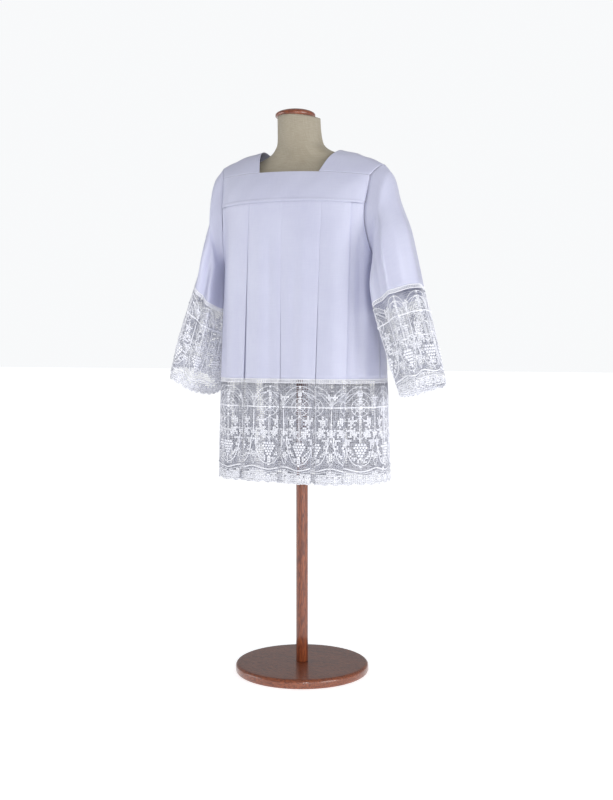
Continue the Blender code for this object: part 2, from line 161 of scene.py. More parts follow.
class MeshParts:
    """Points and faces gathered from many small shapes into one mesh."""

    def __init__(self) -> None:
        """Start with nothing gathered."""
        self.points: list[np.ndarray] = []
        self.faces: list[np.ndarray] = []
        self.count = 0

    def add(self, points: np.ndarray, faces: np.ndarray) -> None:
        """Gather a shape.

        Args:
            points: The shape's points, in rows of three.
            faces: Rows of three or four indices into those points.
        """
        points = points.reshape(-1, 3)
        self.points.append(points)
        self.faces.append(faces + self.count)
        self.count += len(points)

    def add_domes(
        self, surface: Surface, along: np.ndarray, down: np.ndarray, radius: np.ndarray, sides: int
    ) -> None:
        """Gather low domes that stand on a surface: rings of points that climb to a tip.

        Args:
            surface: What they stand on.
            along: Each dome's place along it.
            down: Each dome's place down it.
            radius: Each dome's radius.
            sides: How many sides each dome has.
        """
        turn = full_turn(sides)
        polar = np.radians([90.0, 42.0])
        flatness = 0.8
        unit = np.stack([
            np.append((np.sin(polar)[:, None] * np.cos(turn)).ravel(), 0.0),
            np.append((np.sin(polar)[:, None] * np.sin(turn)).ravel(), 0.0),
            np.append(np.repeat(np.cos(polar), sides), 1.0) * flatness,
        ], axis=-1)
        size = radius[:, None]
        points = surface.at(
            along[:, None] + size * unit[:, 0], down[:, None] + size * unit[:, 1], size * unit[:, 2]
        )
        low, high = np.arange(2 * sides).reshape(2, sides)
        wall = np.stack([high, np.roll(high, -1), np.roll(low, -1), low], axis=-1)
        tip = np.stack([np.full(sides, 2 * sides), np.roll(high, -1), high], axis=-1)
        starts = np.arange(len(along))[:, None, None] * len(unit)
        start = self.count
        self.add(points, (starts + wall).reshape(-1, 4))
        self.faces.append((starts + tip).reshape(-1, 3) + start)
        self.faces.append((starts[:, 0] + low) + start)

    def add_tubes(
        self, centres: np.ndarray, normals: np.ndarray, radius: float, sides: int, loop: bool = False
    ) -> None:
        """Gather tubes: a ring of points about each centre, square to its line.

        Args:
            centres: Lines of points, as lines by points by three.
            normals: A direction for each point that its ring starts from.
            radius: The tubes' radius.
            sides: How many sides each tube has.
            loop: Whether each line's end joins its start; otherwise both ends are capped.
        """
        lines, steps, _ = centres.shape
        if loop:
            forward = np.roll(centres, -1, axis=1) - np.roll(centres, 1, axis=1)
        else:
            forward = np.gradient(centres, axis=1)
        forward = unit(forward)
        across = unit(np.cross(forward, normals))
        upward = np.cross(across, forward)
        turn = full_turn(sides)
        ring = (
            upward[:, :, None, :] * np.cos(turn)[:, None] + across[:, :, None, :] * np.sin(turn)[:, None]
        )
        points = centres[:, :, None, :] + radius * ring
        index = np.arange(lines * steps * sides).reshape(lines, steps, sides)
        first, second = (index, np.roll(index, -1, axis=1)) if loop else (index[:, :-1], index[:, 1:])
        faces = np.stack([
            first, np.roll(first, -1, axis=2), np.roll(second, -1, axis=2), second
        ], axis=-1)
        start = self.count
        self.add(points, faces.reshape(-1, 4))
        if not loop:
            self.faces.append(index[:, 0, ::-1] + start)
            self.faces.append(index[:, -1] + start)

    def add_threads(
        self, surface: Surface, along: np.ndarray, down: np.ndarray, out: np.ndarray | float,
        radius: float, sides: int, loop: bool = False,
    ) -> None:
        """Gather threads laid on a surface: tubes whose rings start from its outward direction.

        Args:
            surface: What they are laid on.
            along: Their places along it, as lines by points.
            down: Their places down it.
            out: How far they stand off it.
            radius: Their radius.
            sides: How many sides each has.
            loop: Whether each joins its own start.
        """
        centres = surface.at(along, down, out)
        normals = surface.at(along, down, out + OUTWARD) - centres
        self.add_tubes(centres, normals, radius, sides, loop)

    def mesh(self, name: str) -> bpy.types.Mesh:
        """Everything gathered, as one mesh.

        Args:
            name: The mesh's name.

        Returns:
            The mesh, smooth shaded.
        """
        points = np.concatenate(self.points).astype(np.float32)
        totals = np.concatenate([np.full(len(f), f.shape[1]) for f in self.faces])
        loops = np.concatenate([f.reshape(-1) for f in self.faces])
        mesh = bpy.data.meshes.new(name)
        mesh.vertices.add(len(points))
        mesh.vertices.foreach_set("co", points.reshape(-1))
        mesh.loops.add(len(loops))
        mesh.loops.foreach_set("vertex_index", loops.astype(np.int32))
        mesh.polygons.add(len(totals))
        starts = np.concatenate([[0], np.cumsum(totals)[:-1]])
        mesh.polygons.foreach_set("loop_start", starts.astype(np.int32))
        mesh.polygons.foreach_set("loop_total", totals.astype(np.int32))
        mesh.update(calc_edges=True)
        mesh.shade_smooth()
        return mesh


class Surface:
    """A sheet of cloth's middle, as a grid of points that is read in metres along and down it."""

    def __init__(self, points: np.ndarray, closed: bool = False) -> None:
        """Keep the grid, with its outward directions and the distances along and down it.

        Args:
            points: Rows by columns by three; outward is down the rows crossed with along them.
            closed: Whether the last column joins the first, as on a tube.
        """
        self.closed = closed
        self.points = np.concatenate([points, points[:, :1]], axis=1) if closed else points
        self.along = chain_lengths(self.points[len(points) // 2])
        self.down = chain_lengths(self.points[:, self.points.shape[1] // 2])
        padded = self.points
        if closed:
            padded = np.concatenate([self.points[:, -2:-1], self.points, self.points[:, 1:2]], axis=1)
        normals = np.cross(np.gradient(padded, axis=0), np.gradient(padded, axis=1))
        normals = normals[:, 1:-1] if closed else normals
        self.normals = unit(normals)

    @property
    def width(self) -> float:
        """How wide the sheet is when laid flat."""
        return float(self.along[-1])

    @property
    def length(self) -> float:
        """How long the sheet is from its top edge to its lower one."""
        return float(self.down[-1])

    @property
    def area(self) -> float:
        """The sheet's area: half the cross product of each cell's diagonals, summed.

        Returns:
            Square metres.
        """
        one = self.points[1:, 1:] - self.points[:-1, :-1]
        other = self.points[1:, :-1] - self.points[:-1, 1:]
        return float(np.linalg.norm(np.cross(one, other), axis=2).sum() / 2)

    @property
    def longest(self) -> float:
        """The longest way down the sheet, along any of its columns."""
        return float(np.linalg.norm(np.diff(self.points, axis=0), axis=2).sum(axis=0).max())

    @property
    def widest(self) -> float:
        """The longest way along the sheet, on any of its rows."""
        return float(np.linalg.norm(np.diff(self.points, axis=1), axis=2).sum(axis=1).max())

    def at(self, along: np.ndarray, down: np.ndarray, out: np.ndarray | float = 0.0) -> np.ndarray:
        """Points of the surface, read between its grid's points.

        Args:
            along: Metres from the sheet's first column.
            down: Metres from its top edge.
            out: Metres that the points stand off it.

        Returns:
            The points, in the shape of along with three more.
        """
        along, down = np.broadcast_arrays(along, down)
        if self.closed:
            along = np.mod(along, self.width)
        rows, columns, _ = self.points.shape
        column = np.interp(along, self.along, np.arange(columns))
        row = np.interp(down, self.down, np.arange(rows))
        c = np.minimum(column.astype(int), columns - 2)
        r = np.minimum(row.astype(int), rows - 2)
        fc, fr = (column - c)[..., None], (row - r)[..., None]

        def read(grid: np.ndarray) -> np.ndarray:
            """Read between four of a grid's points.

            Args:
                grid: The grid's values.

            Returns:
                The values between the nearest four.
            """
            upper = grid[r, c] * (1 - fc) + grid[r, c + 1] * fc
            lower = grid[r + 1, c] * (1 - fc) + grid[r + 1, c + 1] * fc
            return upper * (1 - fr) + lower * fr

        return read(self.points) + unit(read(self.normals)) * np.asarray(out)[..., None]

    def mesh(self, name: str) -> bpy.types.Mesh:
        """The surface as a mesh of quads, with its metres along and down as its UV map.

        Args:
            name: The mesh's name.

        Returns:
            The mesh.
        """
        points = self.points[:, :-1] if self.closed else self.points
        index = np.arange(points.shape[0] * points.shape[1]).reshape(points.shape[:2])
        if self.closed:
            index = np.concatenate([index, index[:, :1]], axis=1)
        faces = np.stack([index[:-1, :-1], index[1:, :-1], index[1:, 1:], index[:-1, 1:]], axis=-1)
        parts = MeshParts()
        parts.add(points, faces.reshape(-1, 4))
        mesh = parts.mesh(name)
        u, v = np.meshgrid(self.along, -self.down)
        flat = np.stack([u, v], axis=-1)
        corners = np.stack([flat[:-1, :-1], flat[1:, :-1], flat[1:, 1:], flat[:-1, 1:]], axis=2)
        layer = mesh.uv_layers.new(name="flat_cloth")
        layer.data.foreach_set("uv", corners.astype(np.float32).reshape(-1))
        return mesh


def add_piece(name: str, mesh: bpy.types.Mesh, material: bpy.types.Material) -> bpy.types.Object:
    """Place a finished mesh in the scene, at the origin.

    Args:
        name: The piece's name.
        mesh: Its mesh.
        material: Its finish.

    Returns:
        The new object.
    """
    piece = bpy.data.objects.new(name, mesh)
    bpy.context.scene.collection.objects.link(piece)
    mesh.materials.append(material)
    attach(piece, "root")
    LOG.info("%s: %d faces", name, len(mesh.polygons))
    return piece


def add_wall(
    name: str, surface: Surface, material: bpy.types.Material, thickness: float
) -> bpy.types.Object:
    """A wall of cloth whose middle is the surface.

    Args:
        name: The piece's name.
        surface: Its middle.
        material: Its finish.
        thickness: How thick the cloth is.

    Returns:
        The new object.
    """
    piece = add_piece(name, surface.mesh(name), material)
    wall = piece.modifiers.new("wall", "SOLIDIFY")
    wall.thickness = thickness
    wall.offset = 0.0
    wall.use_even_offset = False
    return piece


# ---- Finishes ----


class Wire:
    """A shader value that Python's operators combine, each adding its Math node."""

    def __init__(self, shader: Shader, socket: bpy.types.NodeSocket) -> None:
        """Wrap an output socket of the shader's nodes."""
        self.shader = shader
        self.socket = socket

    def math(self, operation: str, *others: Wire | float) -> Wire:
        """The value put through a Math node with others after it."""
        inputs = dict(enumerate((self, *others)))
        return self.shader.node("ShaderNodeMath", {"operation": operation}, inputs)

    def __add__(self, other: Wire | float) -> Wire:
        """The sum."""
        return self.math("ADD", other)

    __radd__ = __add__

    def __mul__(self, other: Wire | float) -> Wire:
        """The product."""
        return self.math("MULTIPLY", other)

    __rmul__ = __mul__

    def sine(self) -> Wire:
        """The value's sine."""
        return self.math("SINE")

    def step(self, low: float, high: float) -> Wire:
        """The value eased from 0 at low to 1 at high."""
        settings = {"interpolation_type": "SMOOTHSTEP"}
        return self.shader.node("ShaderNodeMapRange", settings, {0: self, 1: low, 2: high})


class Shader:
    """A material's nodes, with one method that makes any of them."""

    def __init__(self, name: str) -> None:
        """Start a material that holds only its Principled shader.

        Args:
            name: The material's name.
        """
        self.material = bpy.data.materials.new(name)
        self.material.use_nodes = True
        self.tree = self.material.node_tree
        self.surface = self.tree.nodes["Principled BSDF"]

    def node(
        self, kind: str, settings: dict[str, Any], inputs: dict[int | str, Any], output: int | str = 0
    ) -> Wire:
        """Make a node.

        Args:
            kind: The node's type.
            settings: Its own settings, set first.
            inputs: Values or wires for its sockets, by index or name.
            output: Which of its outputs to hand back.

        Returns:
            That output.
        """
        made = self.tree.nodes.new(kind)
        for key, value in settings.items():
            setattr(made, key, value)
        for key, value in inputs.items():
            if isinstance(value, Wire):
                self.tree.links.new(value.socket, made.inputs[key])
            else:
                made.inputs[key].default_value = value
        return Wire(self, made.outputs[output])

    def coordinates(self, output: str) -> Wire:
        """The surface's own coordinates, such as Object or UV."""
        return self.node("ShaderNodeTexCoord", {}, {}, output)

    def axes(self, vector: Wire) -> tuple[Wire, Wire, Wire]:
        """A vector's three numbers."""
        split = self.node("ShaderNodeSeparateXYZ", {}, {0: vector})
        return tuple(Wire(self, socket) for socket in split.socket.node.outputs)

    def stretched(self, vector: Wire, scale: tuple[float, float, float]) -> Wire:
        """A vector with each axis scaled."""
        return self.node("ShaderNodeMapping", {}, {"Vector": vector, "Scale": scale})

    def noise(self, vector: Wire, scale: float, detail: float) -> Wire:
        """Soft noise from 0 to 1."""
        inputs = {"Vector": vector, "Scale": scale, "Detail": detail}
        return self.node("ShaderNodeTexNoise", {}, inputs, "Fac")

    def blend(self, factor: Wire | float, first: Any, second: Any) -> Wire:
        """A colour between two others."""
        inputs = {0: factor, 6: first, 7: second}
        return self.node("ShaderNodeMix", {"data_type": "RGBA"}, inputs, 2)

    def bump(self, height: Wire, distance: float, strength: float, under: Wire | None = None) -> Wire:
        """A normal that follows a height given in units of the distance.

        Args:
            height: The height.
            distance: Its unit, in metres.
            strength: How much of it shows.
            under: A normal that it is laid over.

        Returns:
            The new normal.
        """
        inputs = {"Height": height, "Distance": distance, "Strength": strength}
        if under:
            inputs["Normal"] = under
        return self.node("ShaderNodeBump", {}, inputs)

    def woven(self, thread: float, slub_scale: float, slub_stretch: float) -> tuple[Wire, Wire, Wire]:
        """A plain weave: a sine along the cloth times one down it, with slubs in both directions.

        Args:
            thread: How wide a thread and its gap are.
            slub_scale: The slubs' noise scale.
            slub_stretch: The share of that scale which is left along a thread.

        Returns:
            The cloth's flat coordinates, its weave and its slubs.
        """
        flat = self.coordinates("UV")
        u, v, _ = self.axes(flat)
        turns = 2 * math.pi / thread
        warp, weft = (
            self.noise(self.stretched(flat, scale), slub_scale, 3.0)
            for scale in ((1.0, slub_stretch, 1.0), (slub_stretch, 1.0, 1.0))
        )
        return flat, (u * turns).sine() * (v * turns).sine(), (warp + weft) * 0.5

    def finish(self, varying: dict[str, Wire], constant: dict[str, Any]) -> bpy.types.Material:
        """Wire the Principled shader up.

        Args:
            varying: What changes over the surface, by socket name.
            constant: Numbers and colours that are the same all over, by socket name.

        Returns:
            The finished material.
        """
        for key, value in varying.items():
            self.tree.links.new(value.socket, self.surface.inputs[key])
        for key, value in constant.items():
            self.surface.inputs[key].default_value = value
        return self.material


Colour = tuple[float, float, float, float]


@dataclass(frozen=True)
class SmoothCloth:
    """Fine plain-woven cotton and polyester with a cool white tint, softly creased."""

    light: Colour = (0.575, 0.588, 0.748, 1.0)
    shade: Colour = (0.535, 0.545, 0.710, 1.0)
    slub_light: Colour = (0.95, 0.95, 1.0, 1.0)
    thread: float = 0.0008
    slub_scale: float = 420.0
    slub_stretch: float = 0.06
    roughness: float = 0.46

    def build(self) -> bpy.types.Material:
        """Wire the cloth's shader up.

        Returns:
            The finished material.
        """
        shader = Shader("smooth_cloth")
        flat, weave, slubs = shader.woven(self.thread, self.slub_scale, self.slub_stretch)
        soft = shader.noise(shader.coordinates("Object"), 9.0, 3.0)
        colour = shader.blend(soft.step(0.25, 0.75), self.shade, self.light)
        colour = shader.blend(slubs.step(0.30, 0.80) * 0.10, colour, self.slub_light)
        creases = shader.noise(shader.stretched(flat, (1.0, 0.22, 1.0)), 16.0, 2.0)
        fine = shader.bump(weave * 0.5 + slubs, 0.00012, 0.55)
        return shader.finish(
            {
                "Base Color": colour, "Roughness": 0.10 * soft + (self.roughness - 0.05),
                "Normal": shader.bump(creases, 0.0035, 0.45, fine),
            },
            {"Sheen Weight": 0.12, "Sheen Roughness": 0.45, "Specular IOR Level": 0.85},
        )


@dataclass(frozen=True)
class LaceThread:
    """White cotton yarn, matt and faintly twisted."""

    name: str = "lace_thread"
    light: Colour = (0.940, 0.945, 0.990, 1.0)
    shade: Colour = (0.840, 0.850, 0.920, 1.0)

    def build(self) -> bpy.types.Material:
        """Wire the yarn's shader up.

        Returns:
            The finished material.
        """
        shader = Shader(self.name)
        place = shader.coordinates("Object")
        fibre = shader.noise(place, 1400.0, 2.0)
        worn = shader.noise(place, 60.0, 2.0)
        mixed = (fibre * 0.5 + worn * 0.5).step(0.30, 0.70)
        colour = shader.blend(mixed, self.shade, self.light)
        return shader.finish(
            {
                "Base Color": colour, "Roughness": 0.80 + 0.12 * fibre,
                "Normal": shader.bump(fibre, 0.0003, 0.6),
            },
            {"Sheen Weight": 0.15, "Sheen Roughness": 0.5, "Specular IOR Level": 0.25},
        )


@dataclass(frozen=True)
class FormLinen:
    """Natural linen pulled tight over the form, with slubs in both directions."""

    light: Colour = (0.430, 0.385, 0.305, 1.0)
    shade: Colour = (0.318, 0.276, 0.206, 1.0)
    thread: float = 0.0012
    slub_scale: float = 520.0
    slub_stretch: float = 0.05

    def build(self) -> bpy.types.Material:
        """Wire the linen's shader up.

        Returns:
            The finished material.
        """
        shader = Shader("form_linen")
        _, weave, slubs = shader.woven(self.thread, self.slub_scale, self.slub_stretch)
        blotch = shader.noise(shader.coordinates("Object"), 14.0, 3.0)
        colour = shader.blend((slubs * 0.7 + blotch * 0.3).step(0.32, 0.66), self.shade, self.light)
        return shader.finish(
            {
                "Base Color": colour, "Roughness": 0.78 + 0.15 * slubs,
                "Normal": shader.bump(weave * 0.4 + slubs, 0.0004, 0.8),
            },
            {"Sheen Weight": 0.12, "Sheen Roughness": 0.5, "Specular IOR Level": 0.30},
        )


@dataclass(frozen=True)
class VarnishedWood:
    """Red-brown stained wood under a clear varnish, its grain running along one axis."""

    name: str
    stretch: tuple[float, float, float]
    light: Colour = (0.300, 0.078, 0.026, 1.0)
    dark: Colour = (0.105, 0.020, 0.008, 1.0)

    def build(self) -> bpy.types.Material:
        """Wire the wood's shader up.

        Returns:
            The finished material.
        """
        shader = Shader(self.name)
        place = shader.coordinates("Object")
        grain = shader.stretched(place, self.stretch)
        bend = shader.noise(grain, 3.0, 2.0)
        rings = shader.noise(grain, 22.0, 4.0)
        lines = ((rings * 38.0) + (bend * 9.0)).sine() * 0.5 + 0.5
        pores = shader.noise(shader.stretched(grain, (0.3, 4.0, 4.0)), 90.0, 2.0)
        mix = lines * 0.45 + bend * 0.35 + pores * 0.20
        colour = shader.blend(mix.step(0.15, 0.85), self.dark, self.light)
        return shader.finish(
            {
                "Base Color": colour, "Roughness": 0.30 + 0.18 * pores,
                "Normal": shader.bump(pores * 0.6 + lines * 0.4, 0.0004, 0.35),
            },
            {"Coat Weight": 0.7, "Coat Roughness": 0.12, "Specular IOR Level": 0.5},
        )


@dataclass(frozen=True)
class PaleFloor:
    """A plain pale studio floor, lit a little from within like a light table."""

    colour: Colour = (0.75, 0.75, 0.755, 1.0)
    glow_colour: Colour = (0.98, 0.99, 1.0, 1.0)
    glow: float = 0.75
    speckle: float = 0.985

    def build(self) -> bpy.types.Material:
        """Wire the floor's shader up.

        Returns:
            The finished material.
        """
        shader = Shader("pale_floor")
        speckle = shader.noise(shader.coordinates("Object"), 180.0, 2.0)
        darker = (*(self.speckle * part for part in self.colour[:3]), 1.0)
        colour = shader.blend(speckle, darker, self.colour)
        return shader.finish({"Base Color": colour}, {
            "Roughness": 0.6, "Specular IOR Level": 0.2, "Emission Color": self.glow_colour,
            "Emission Strength": self.glow,
        })


# ---- The garment's shared form ----


@dataclass(frozen=True)
class Fold:
    """One long soft fold of a hanging panel: a ridge where its height is positive, else a trough."""

    along: float
    lean: float
    top: float
    bottom: float
    width: float
    height: float
    narrow: float = 0.75
    widening: float = 0.5
    ease_in: float = 3.5
    ease_out: float = 5.0
    end: float = 1.15

    def relief(self, along: np.ndarray, height: np.ndarray | float) -> np.ndarray:
        """How far the fold moves the cloth out: a bell across it, eased in at its top and bottom.

        Args:
            along: Distances around the panel.
            height: Heights above the floor.

        Returns:
            Metres outwards.
        """
        share = (self.top - height) / (self.top - self.bottom)
        centre = self.along + self.lean * share
        width = self.width * (self.narrow + self.widening * np.clip(share, 0.0, 1.0))
        bell = np.exp(-(((along - centre) / width) ** 2))
        return self.height * bell * ease(share * self.ease_in) * ease((self.end - share) * self.ease_out)


@dataclass
class WornBody:
    """The worn body's rounded-square sections and the lines where its pieces meet."""

    squareness: float = 2.9
    armpit: float = 1.100
    armhole_half_height: float = 0.129
    armhole_half_depth: float = 0.062
    lean: float = 0.054
    lean_low: float = 1.15
    lean_high: float = 1.36
    droop: float = 0.007
    droop_at: float = 0.2
    droop_height: float = 1.25
    droop_spread: float = 0.06
    yoke_seam: float = 1.2545
    shoulder_end: float = 1.330
    front_corner: tuple[float, float, float] = (0.2185, 0.0420, 1.3270)
    back_corner: tuple[float, float, float] = (0.2185, 0.0436, 1.3415)
    outline_steps: int = 721
    edge_rows: int = 24
    edge_steps: int = 17
    sections: np.ndarray = field(default_factory=lambda: np.array([
        # height, half_width, front, back
        (0.523, 0.238, 0.126, 0.164),
        (0.784, 0.231, 0.122, 0.148),
        (1.000, 0.224, 0.118, 0.130),
        (1.100, 0.222, 0.116, 0.125),
        (1.180, 0.224, 0.114, 0.119),
        (1.270, 0.228, 0.110, 0.115),
    ]))
    armhole_seam: np.ndarray = field(default_factory=lambda: np.array([
        # height, half_width
        (1.100, 0.2222),
        (1.120, 0.2212),
        (1.140, 0.2190),
        (1.160, 0.2167),
        (1.180, 0.2147),
        (1.200, 0.2136),
        (1.230, 0.2136),
        (1.255, 0.2148),
        (1.307, 0.2160),
        (1.328, 0.2173),
        (1.345, 0.2275),
        (1.358, 0.2400),
    ]))

    @property
    def armhole_centre(self) -> float:
        """The height of the armhole's middle."""
        return self.armpit + self.armhole_half_height

    @property
    def shoulder_turn(self) -> float:
        """How far round the armhole's oval the shoulder piece starts, from level, in radians."""
        return math.asin((self.shoulder_end - self.armhole_centre) / self.armhole_half_height)

    def seam_out(self, height: np.ndarray) -> np.ndarray:
        """How far out the armhole's seam is, at heights."""
        return np.interp(height, self.armhole_seam[:, 0], self.armhole_seam[:, 1])

    def leaned(self, points: np.ndarray) -> np.ndarray:
        """The garment as it hangs, a little lower on the wearer's left shoulder than on the right.

        Args:
            points: Points of the level garment.

        Returns:
            The points, moved down in proportion to how far left they are, more so higher up, and
            with the yoke's lower seam sagging towards its ends as a square of the distance.
        """
        x, z = points[..., 0], points[..., 2]
        share = ease((z - self.lean_low) / (self.lean_high - self.lean_low))
        near_seam = np.exp(-(((z - self.droop_height) / self.droop_spread) ** 2))
        sag = self.droop * (x / self.droop_at) ** 2 * near_seam
        moved = points.copy()
        moved[..., 2] -= self.lean * x * share + sag
        return moved

    def outline(self, height: float, face: Face) -> tuple[np.ndarray, np.ndarray, np.ndarray]:
        """Half a section: a superellipse, as x, y and the distance along it from its middle.

        Args:
            height: The section's height.
            face: Which half of the body.

        Returns:
            The x and y of a front half, and their distances along.
        """
        half_width = read_table(self.sections, height)
        depth = read_table(self.sections, height, 2 if face is Face.FRONT else 3)
        turn = np.linspace(-math.pi / 2, math.pi / 2, self.outline_steps)
        power = 2 / self.squareness
        x = half_width * signed_power(np.sin(turn), power)
        y = -depth * np.abs(np.cos(turn)) ** power
        lengths = chain_lengths(np.stack([x, y], axis=-1))
        return x, y, lengths - lengths[-1] / 2

    def points(self, height: float, along: np.ndarray, inset: np.ndarray, face: Face) -> np.ndarray:
        """Points of the front or back half at one height.

        Args:
            height: The height.
            along: Distances around the half from its middle.
            inset: How far inside the section each point is.
            face: Which half of the body.

        Returns:
            The points, a back half already turned round.
        """
        x, y, lengths = self.outline(height, face)
        tangent_x = np.interp(along, lengths, np.gradient(x, lengths))
        tangent_y = np.interp(along, lengths, np.gradient(y, lengths))
        size = np.hypot(tangent_x, tangent_y)
        px = np.interp(along, lengths, x) - inset * tangent_y / size
        py = np.interp(along, lengths, y) + inset * tangent_x / size
        return np.stack([px * face.value, py * face.value, np.full_like(px, height)], axis=-1)

    def edge(self, height: float, face: Face, gap: float) -> float:
        """How far around a panel reaches: to the armhole's oval, and under it to the side seam.

        Args:
            height: The height.
            face: Which half of the body.
            gap: The gap left at the seam.

        Returns:
            The distance from the panel's middle.
        """
        x, y, lengths = self.outline(height, face)
        left = x > 0.0
        return float(np.interp(-float(self.oval(np.array(height))) - gap, y[left], lengths[left]))

    def oval(self, height: np.ndarray) -> np.ndarray:
        """How far in front of its middle the armhole's oval is, at heights."""
        rise = np.clip((height - self.armhole_centre) / self.armhole_half_height, -1.0, 1.0)
        return self.armhole_half_depth * np.sqrt(1 - rise * rise)

    def armhole_edge(self, face: Face) -> np.ndarray:
        """Half of the armhole's edge, from the armpit past the yoke's corner to the shoulder's top.

        Args:
            face: Which half.

        Returns:
            Each point's distance out, distance from the armhole's middle, and height.
        """
        below = []
        for height in np.linspace(self.armpit, self.yoke_seam, self.edge_rows):
            x, y, _ = self.outline(height, face)
            near = float(self.oval(np.array(height)))
            below.append((np.interp(-near, y[x > 0.0], x[x > 0.0]), near, height))
        first = self.shoulder_turn
        share = np.linspace(0.0, 0.5, self.edge_steps)
        turn = first + share * (math.pi - 2 * first)
        heights = self.armhole_centre + self.armhole_half_height * np.sin(turn)
        away = self.armhole_half_depth * np.cos(turn)
        above = np.stack([self.seam_out(heights), away, heights], axis=-1)
        corner = np.array(self.front_corner if face is Face.FRONT else self.back_corner)
        above += (corner - above[0]) * ease(1 - 4 * share)[:, None]
        return np.concatenate([np.array(below), above])


@dataclass
class PleatedPanel:
    """Four box pleats side by side, from the yoke to the hem, as one folded path at each height."""

    body: WornBody
    face: Face
    cloth_end: float
    lines: np.ndarray
    folds: tuple[Fold, ...]
    crown: float = 0.0036
    seam_gap: float = 0.0004
    crown_rise: float = 4.0
    crown_power: float = 0.8
    opening: float = 0.16
    tuck_fade: float = 0.012
    face_columns: int = 21
    side_columns: int = 16
    back_columns: int = 10
    layer_columns: int = 6
    turn_columns: int = 7
    pitches: np.ndarray = field(default_factory=lambda: np.array([
        # height, pitch
        (0.523, 0.0036),
        (0.784, 0.0032),
        (1.150, 0.0026),
        (1.260, 0.0016),
    ]))
    gaps: np.ndarray = field(default_factory=lambda: np.array([
        # height, half_gap
        (0.523, 0.0064),
        (0.784, 0.0036),
        (1.100, 0.0009),
        (1.260, 0.0003),
    ]))

    def path(self, height: float) -> tuple[np.ndarray, np.ndarray]:
        """The folded cloth's way round at one height, as distances along and insets.

        The cloth runs over a pleat, turns under through half a circle, runs back, turns again and
        passes behind the gap; each layer lies one pitch behind the last.

        Args:
            height: The height.

        Returns:
            Distances along and insets, one of each for every column.
        """
        drop = (self.body.yoke_seam - height) / (self.body.yoke_seam - self.cloth_end)
        lines = self.lines[:, 0] + (self.lines[:, 1] - self.lines[:, 0]) * drop
        pitch = float(read_table(self.pitches, height))
        above = float(ease((height - self.cloth_end + self.opening) / self.opening))
        gaps = read_table(self.gaps, height) * (1 - above + above * self.lines[:, 3])
        edge = self.body.edge(height, self.face, self.seam_gap)
        fars = gaps + self.lines[:, 2]
        crown = self.crown * ease(drop * self.crown_rise)
        along: list[np.ndarray] = []
        inset: list[np.ndarray] = []
        r, deep, layer = pitch / 2, 2 * pitch, self.layer_columns

        def run(start: float, stop: float, count: int, depth: np.ndarray | float) -> None:
            """A stretch of a layer, from start to stop in a count of points at one depth or many."""
            along.append(np.linspace(start, stop, count))
            inset.append(np.broadcast_to(depth, (count,)).astype(float))

        def turn(tip: float, toward: int, from_depth: float, to_depth: float) -> None:
            """A half circle from one layer to the next.

            Args:
                tip: Its furthest place.
                toward: The side that its tip is on, 1 or -1.
                from_depth: The first layer's depth.
                to_depth: The next layer's depth.
            """
            angle = np.linspace(0.0, math.pi, self.turn_columns)[1:-1]
            along.append(tip - toward * r * (1 - np.sin(angle)))
            inset.append(from_depth + (to_depth - from_depth) * (1 - np.cos(angle)) / 2)

        def outer(start: float, stop: float, rising: bool) -> None:
            """The single layer between the last pleat and the side, rising outwards or sinking."""
            share = ease(np.linspace(0.0, 1.0, self.side_columns))
            run(start, stop, self.side_columns, deep * (1 - share if rising else share))

        outer(-edge, lines[0], False)
        run(lines[0] + r, lines[0] + fars[0] - r, layer, deep)
        turn(lines[0] + fars[0], 1, deep, pitch)
        run(lines[0] + fars[0] - r, lines[0] + gaps[0] + r, layer, pitch)
        columns = self.face_columns
        arch = crown * np.sin(np.linspace(0.0, math.pi, columns)) ** self.crown_power
        for index in range(1, len(lines)):
            left, right = lines[index - 1] + gaps[index - 1], lines[index] - gaps[index]
            line, far = lines[index], fars[index]
            turn(left, -1, pitch, 0.0)
            run(left + r, right - r, columns, -arch)
            turn(right, 1, 0.0, pitch)
            run(right - r, line - far + r, layer, pitch)
            turn(line - far, -1, pitch, deep)
            if index < len(lines) - 1:
                run(line - far + r, line + far - r, self.back_columns, deep)
                turn(line + far, 1, deep, pitch)
                run(line + far - r, line + gaps[index] + r, layer, pitch)
        run(lines[-1] - fars[-1] + r, lines[-1] - r, layer, deep)
        outer(lines[-1], edge, True)
        return np.concatenate(along), np.concatenate(inset)

    def surface(self, top: float, bottom: float, rows: int, tuck: float = 0.0) -> Surface:
        """The panel between two heights.

        Args:
            top: Its upper edge's height.
            bottom: Its lower edge's height.
            rows: How many rows of quads it has.
            tuck: How far its upper edge is tucked behind the piece above.

        Returns:
            The panel's middle.
        """
        grid = []
        for height in np.linspace(top, bottom, rows + 1):
            along, inset = self.path(height)
            relief = sum(fold.relief(along, height) for fold in self.folds)
            behind = tuck * math.exp(-(top - height) / self.tuck_fade)
            grid.append(self.body.points(height, along, inset - relief + behind, self.face))
        return Surface(self.body.leaned(np.array(grid)))


@dataclass(frozen=True)
class SleeveFold:
    """One long ridge or trough of a sleeve: 0 degrees is its top line and 90 its front."""

    turn: float
    drift: float
    start: float
    stop: float
    spread: float
    height: float
    ease_in: float = 3.0
    ease_out: float = 4.0
    end: float = 1.2

    def relief(self, degrees: np.ndarray, at: float) -> np.ndarray:
        """How far out the fold moves the cloth, at one distance down the sleeve.

        Args:
            degrees: Places around the sleeve.
            at: Metres down the sleeve's top line.

        Returns:
            Metres outwards.
        """
        share = (at - self.start) / (self.stop - self.start)
        centre = self.turn + self.drift * share
        apart = (degrees - centre + 180) % 360 - 180
        bell = np.exp(-((apart / self.spread) ** 2))
        return self.height * bell * ease(share * self.ease_in) * ease((self.end - share) * self.ease_out)


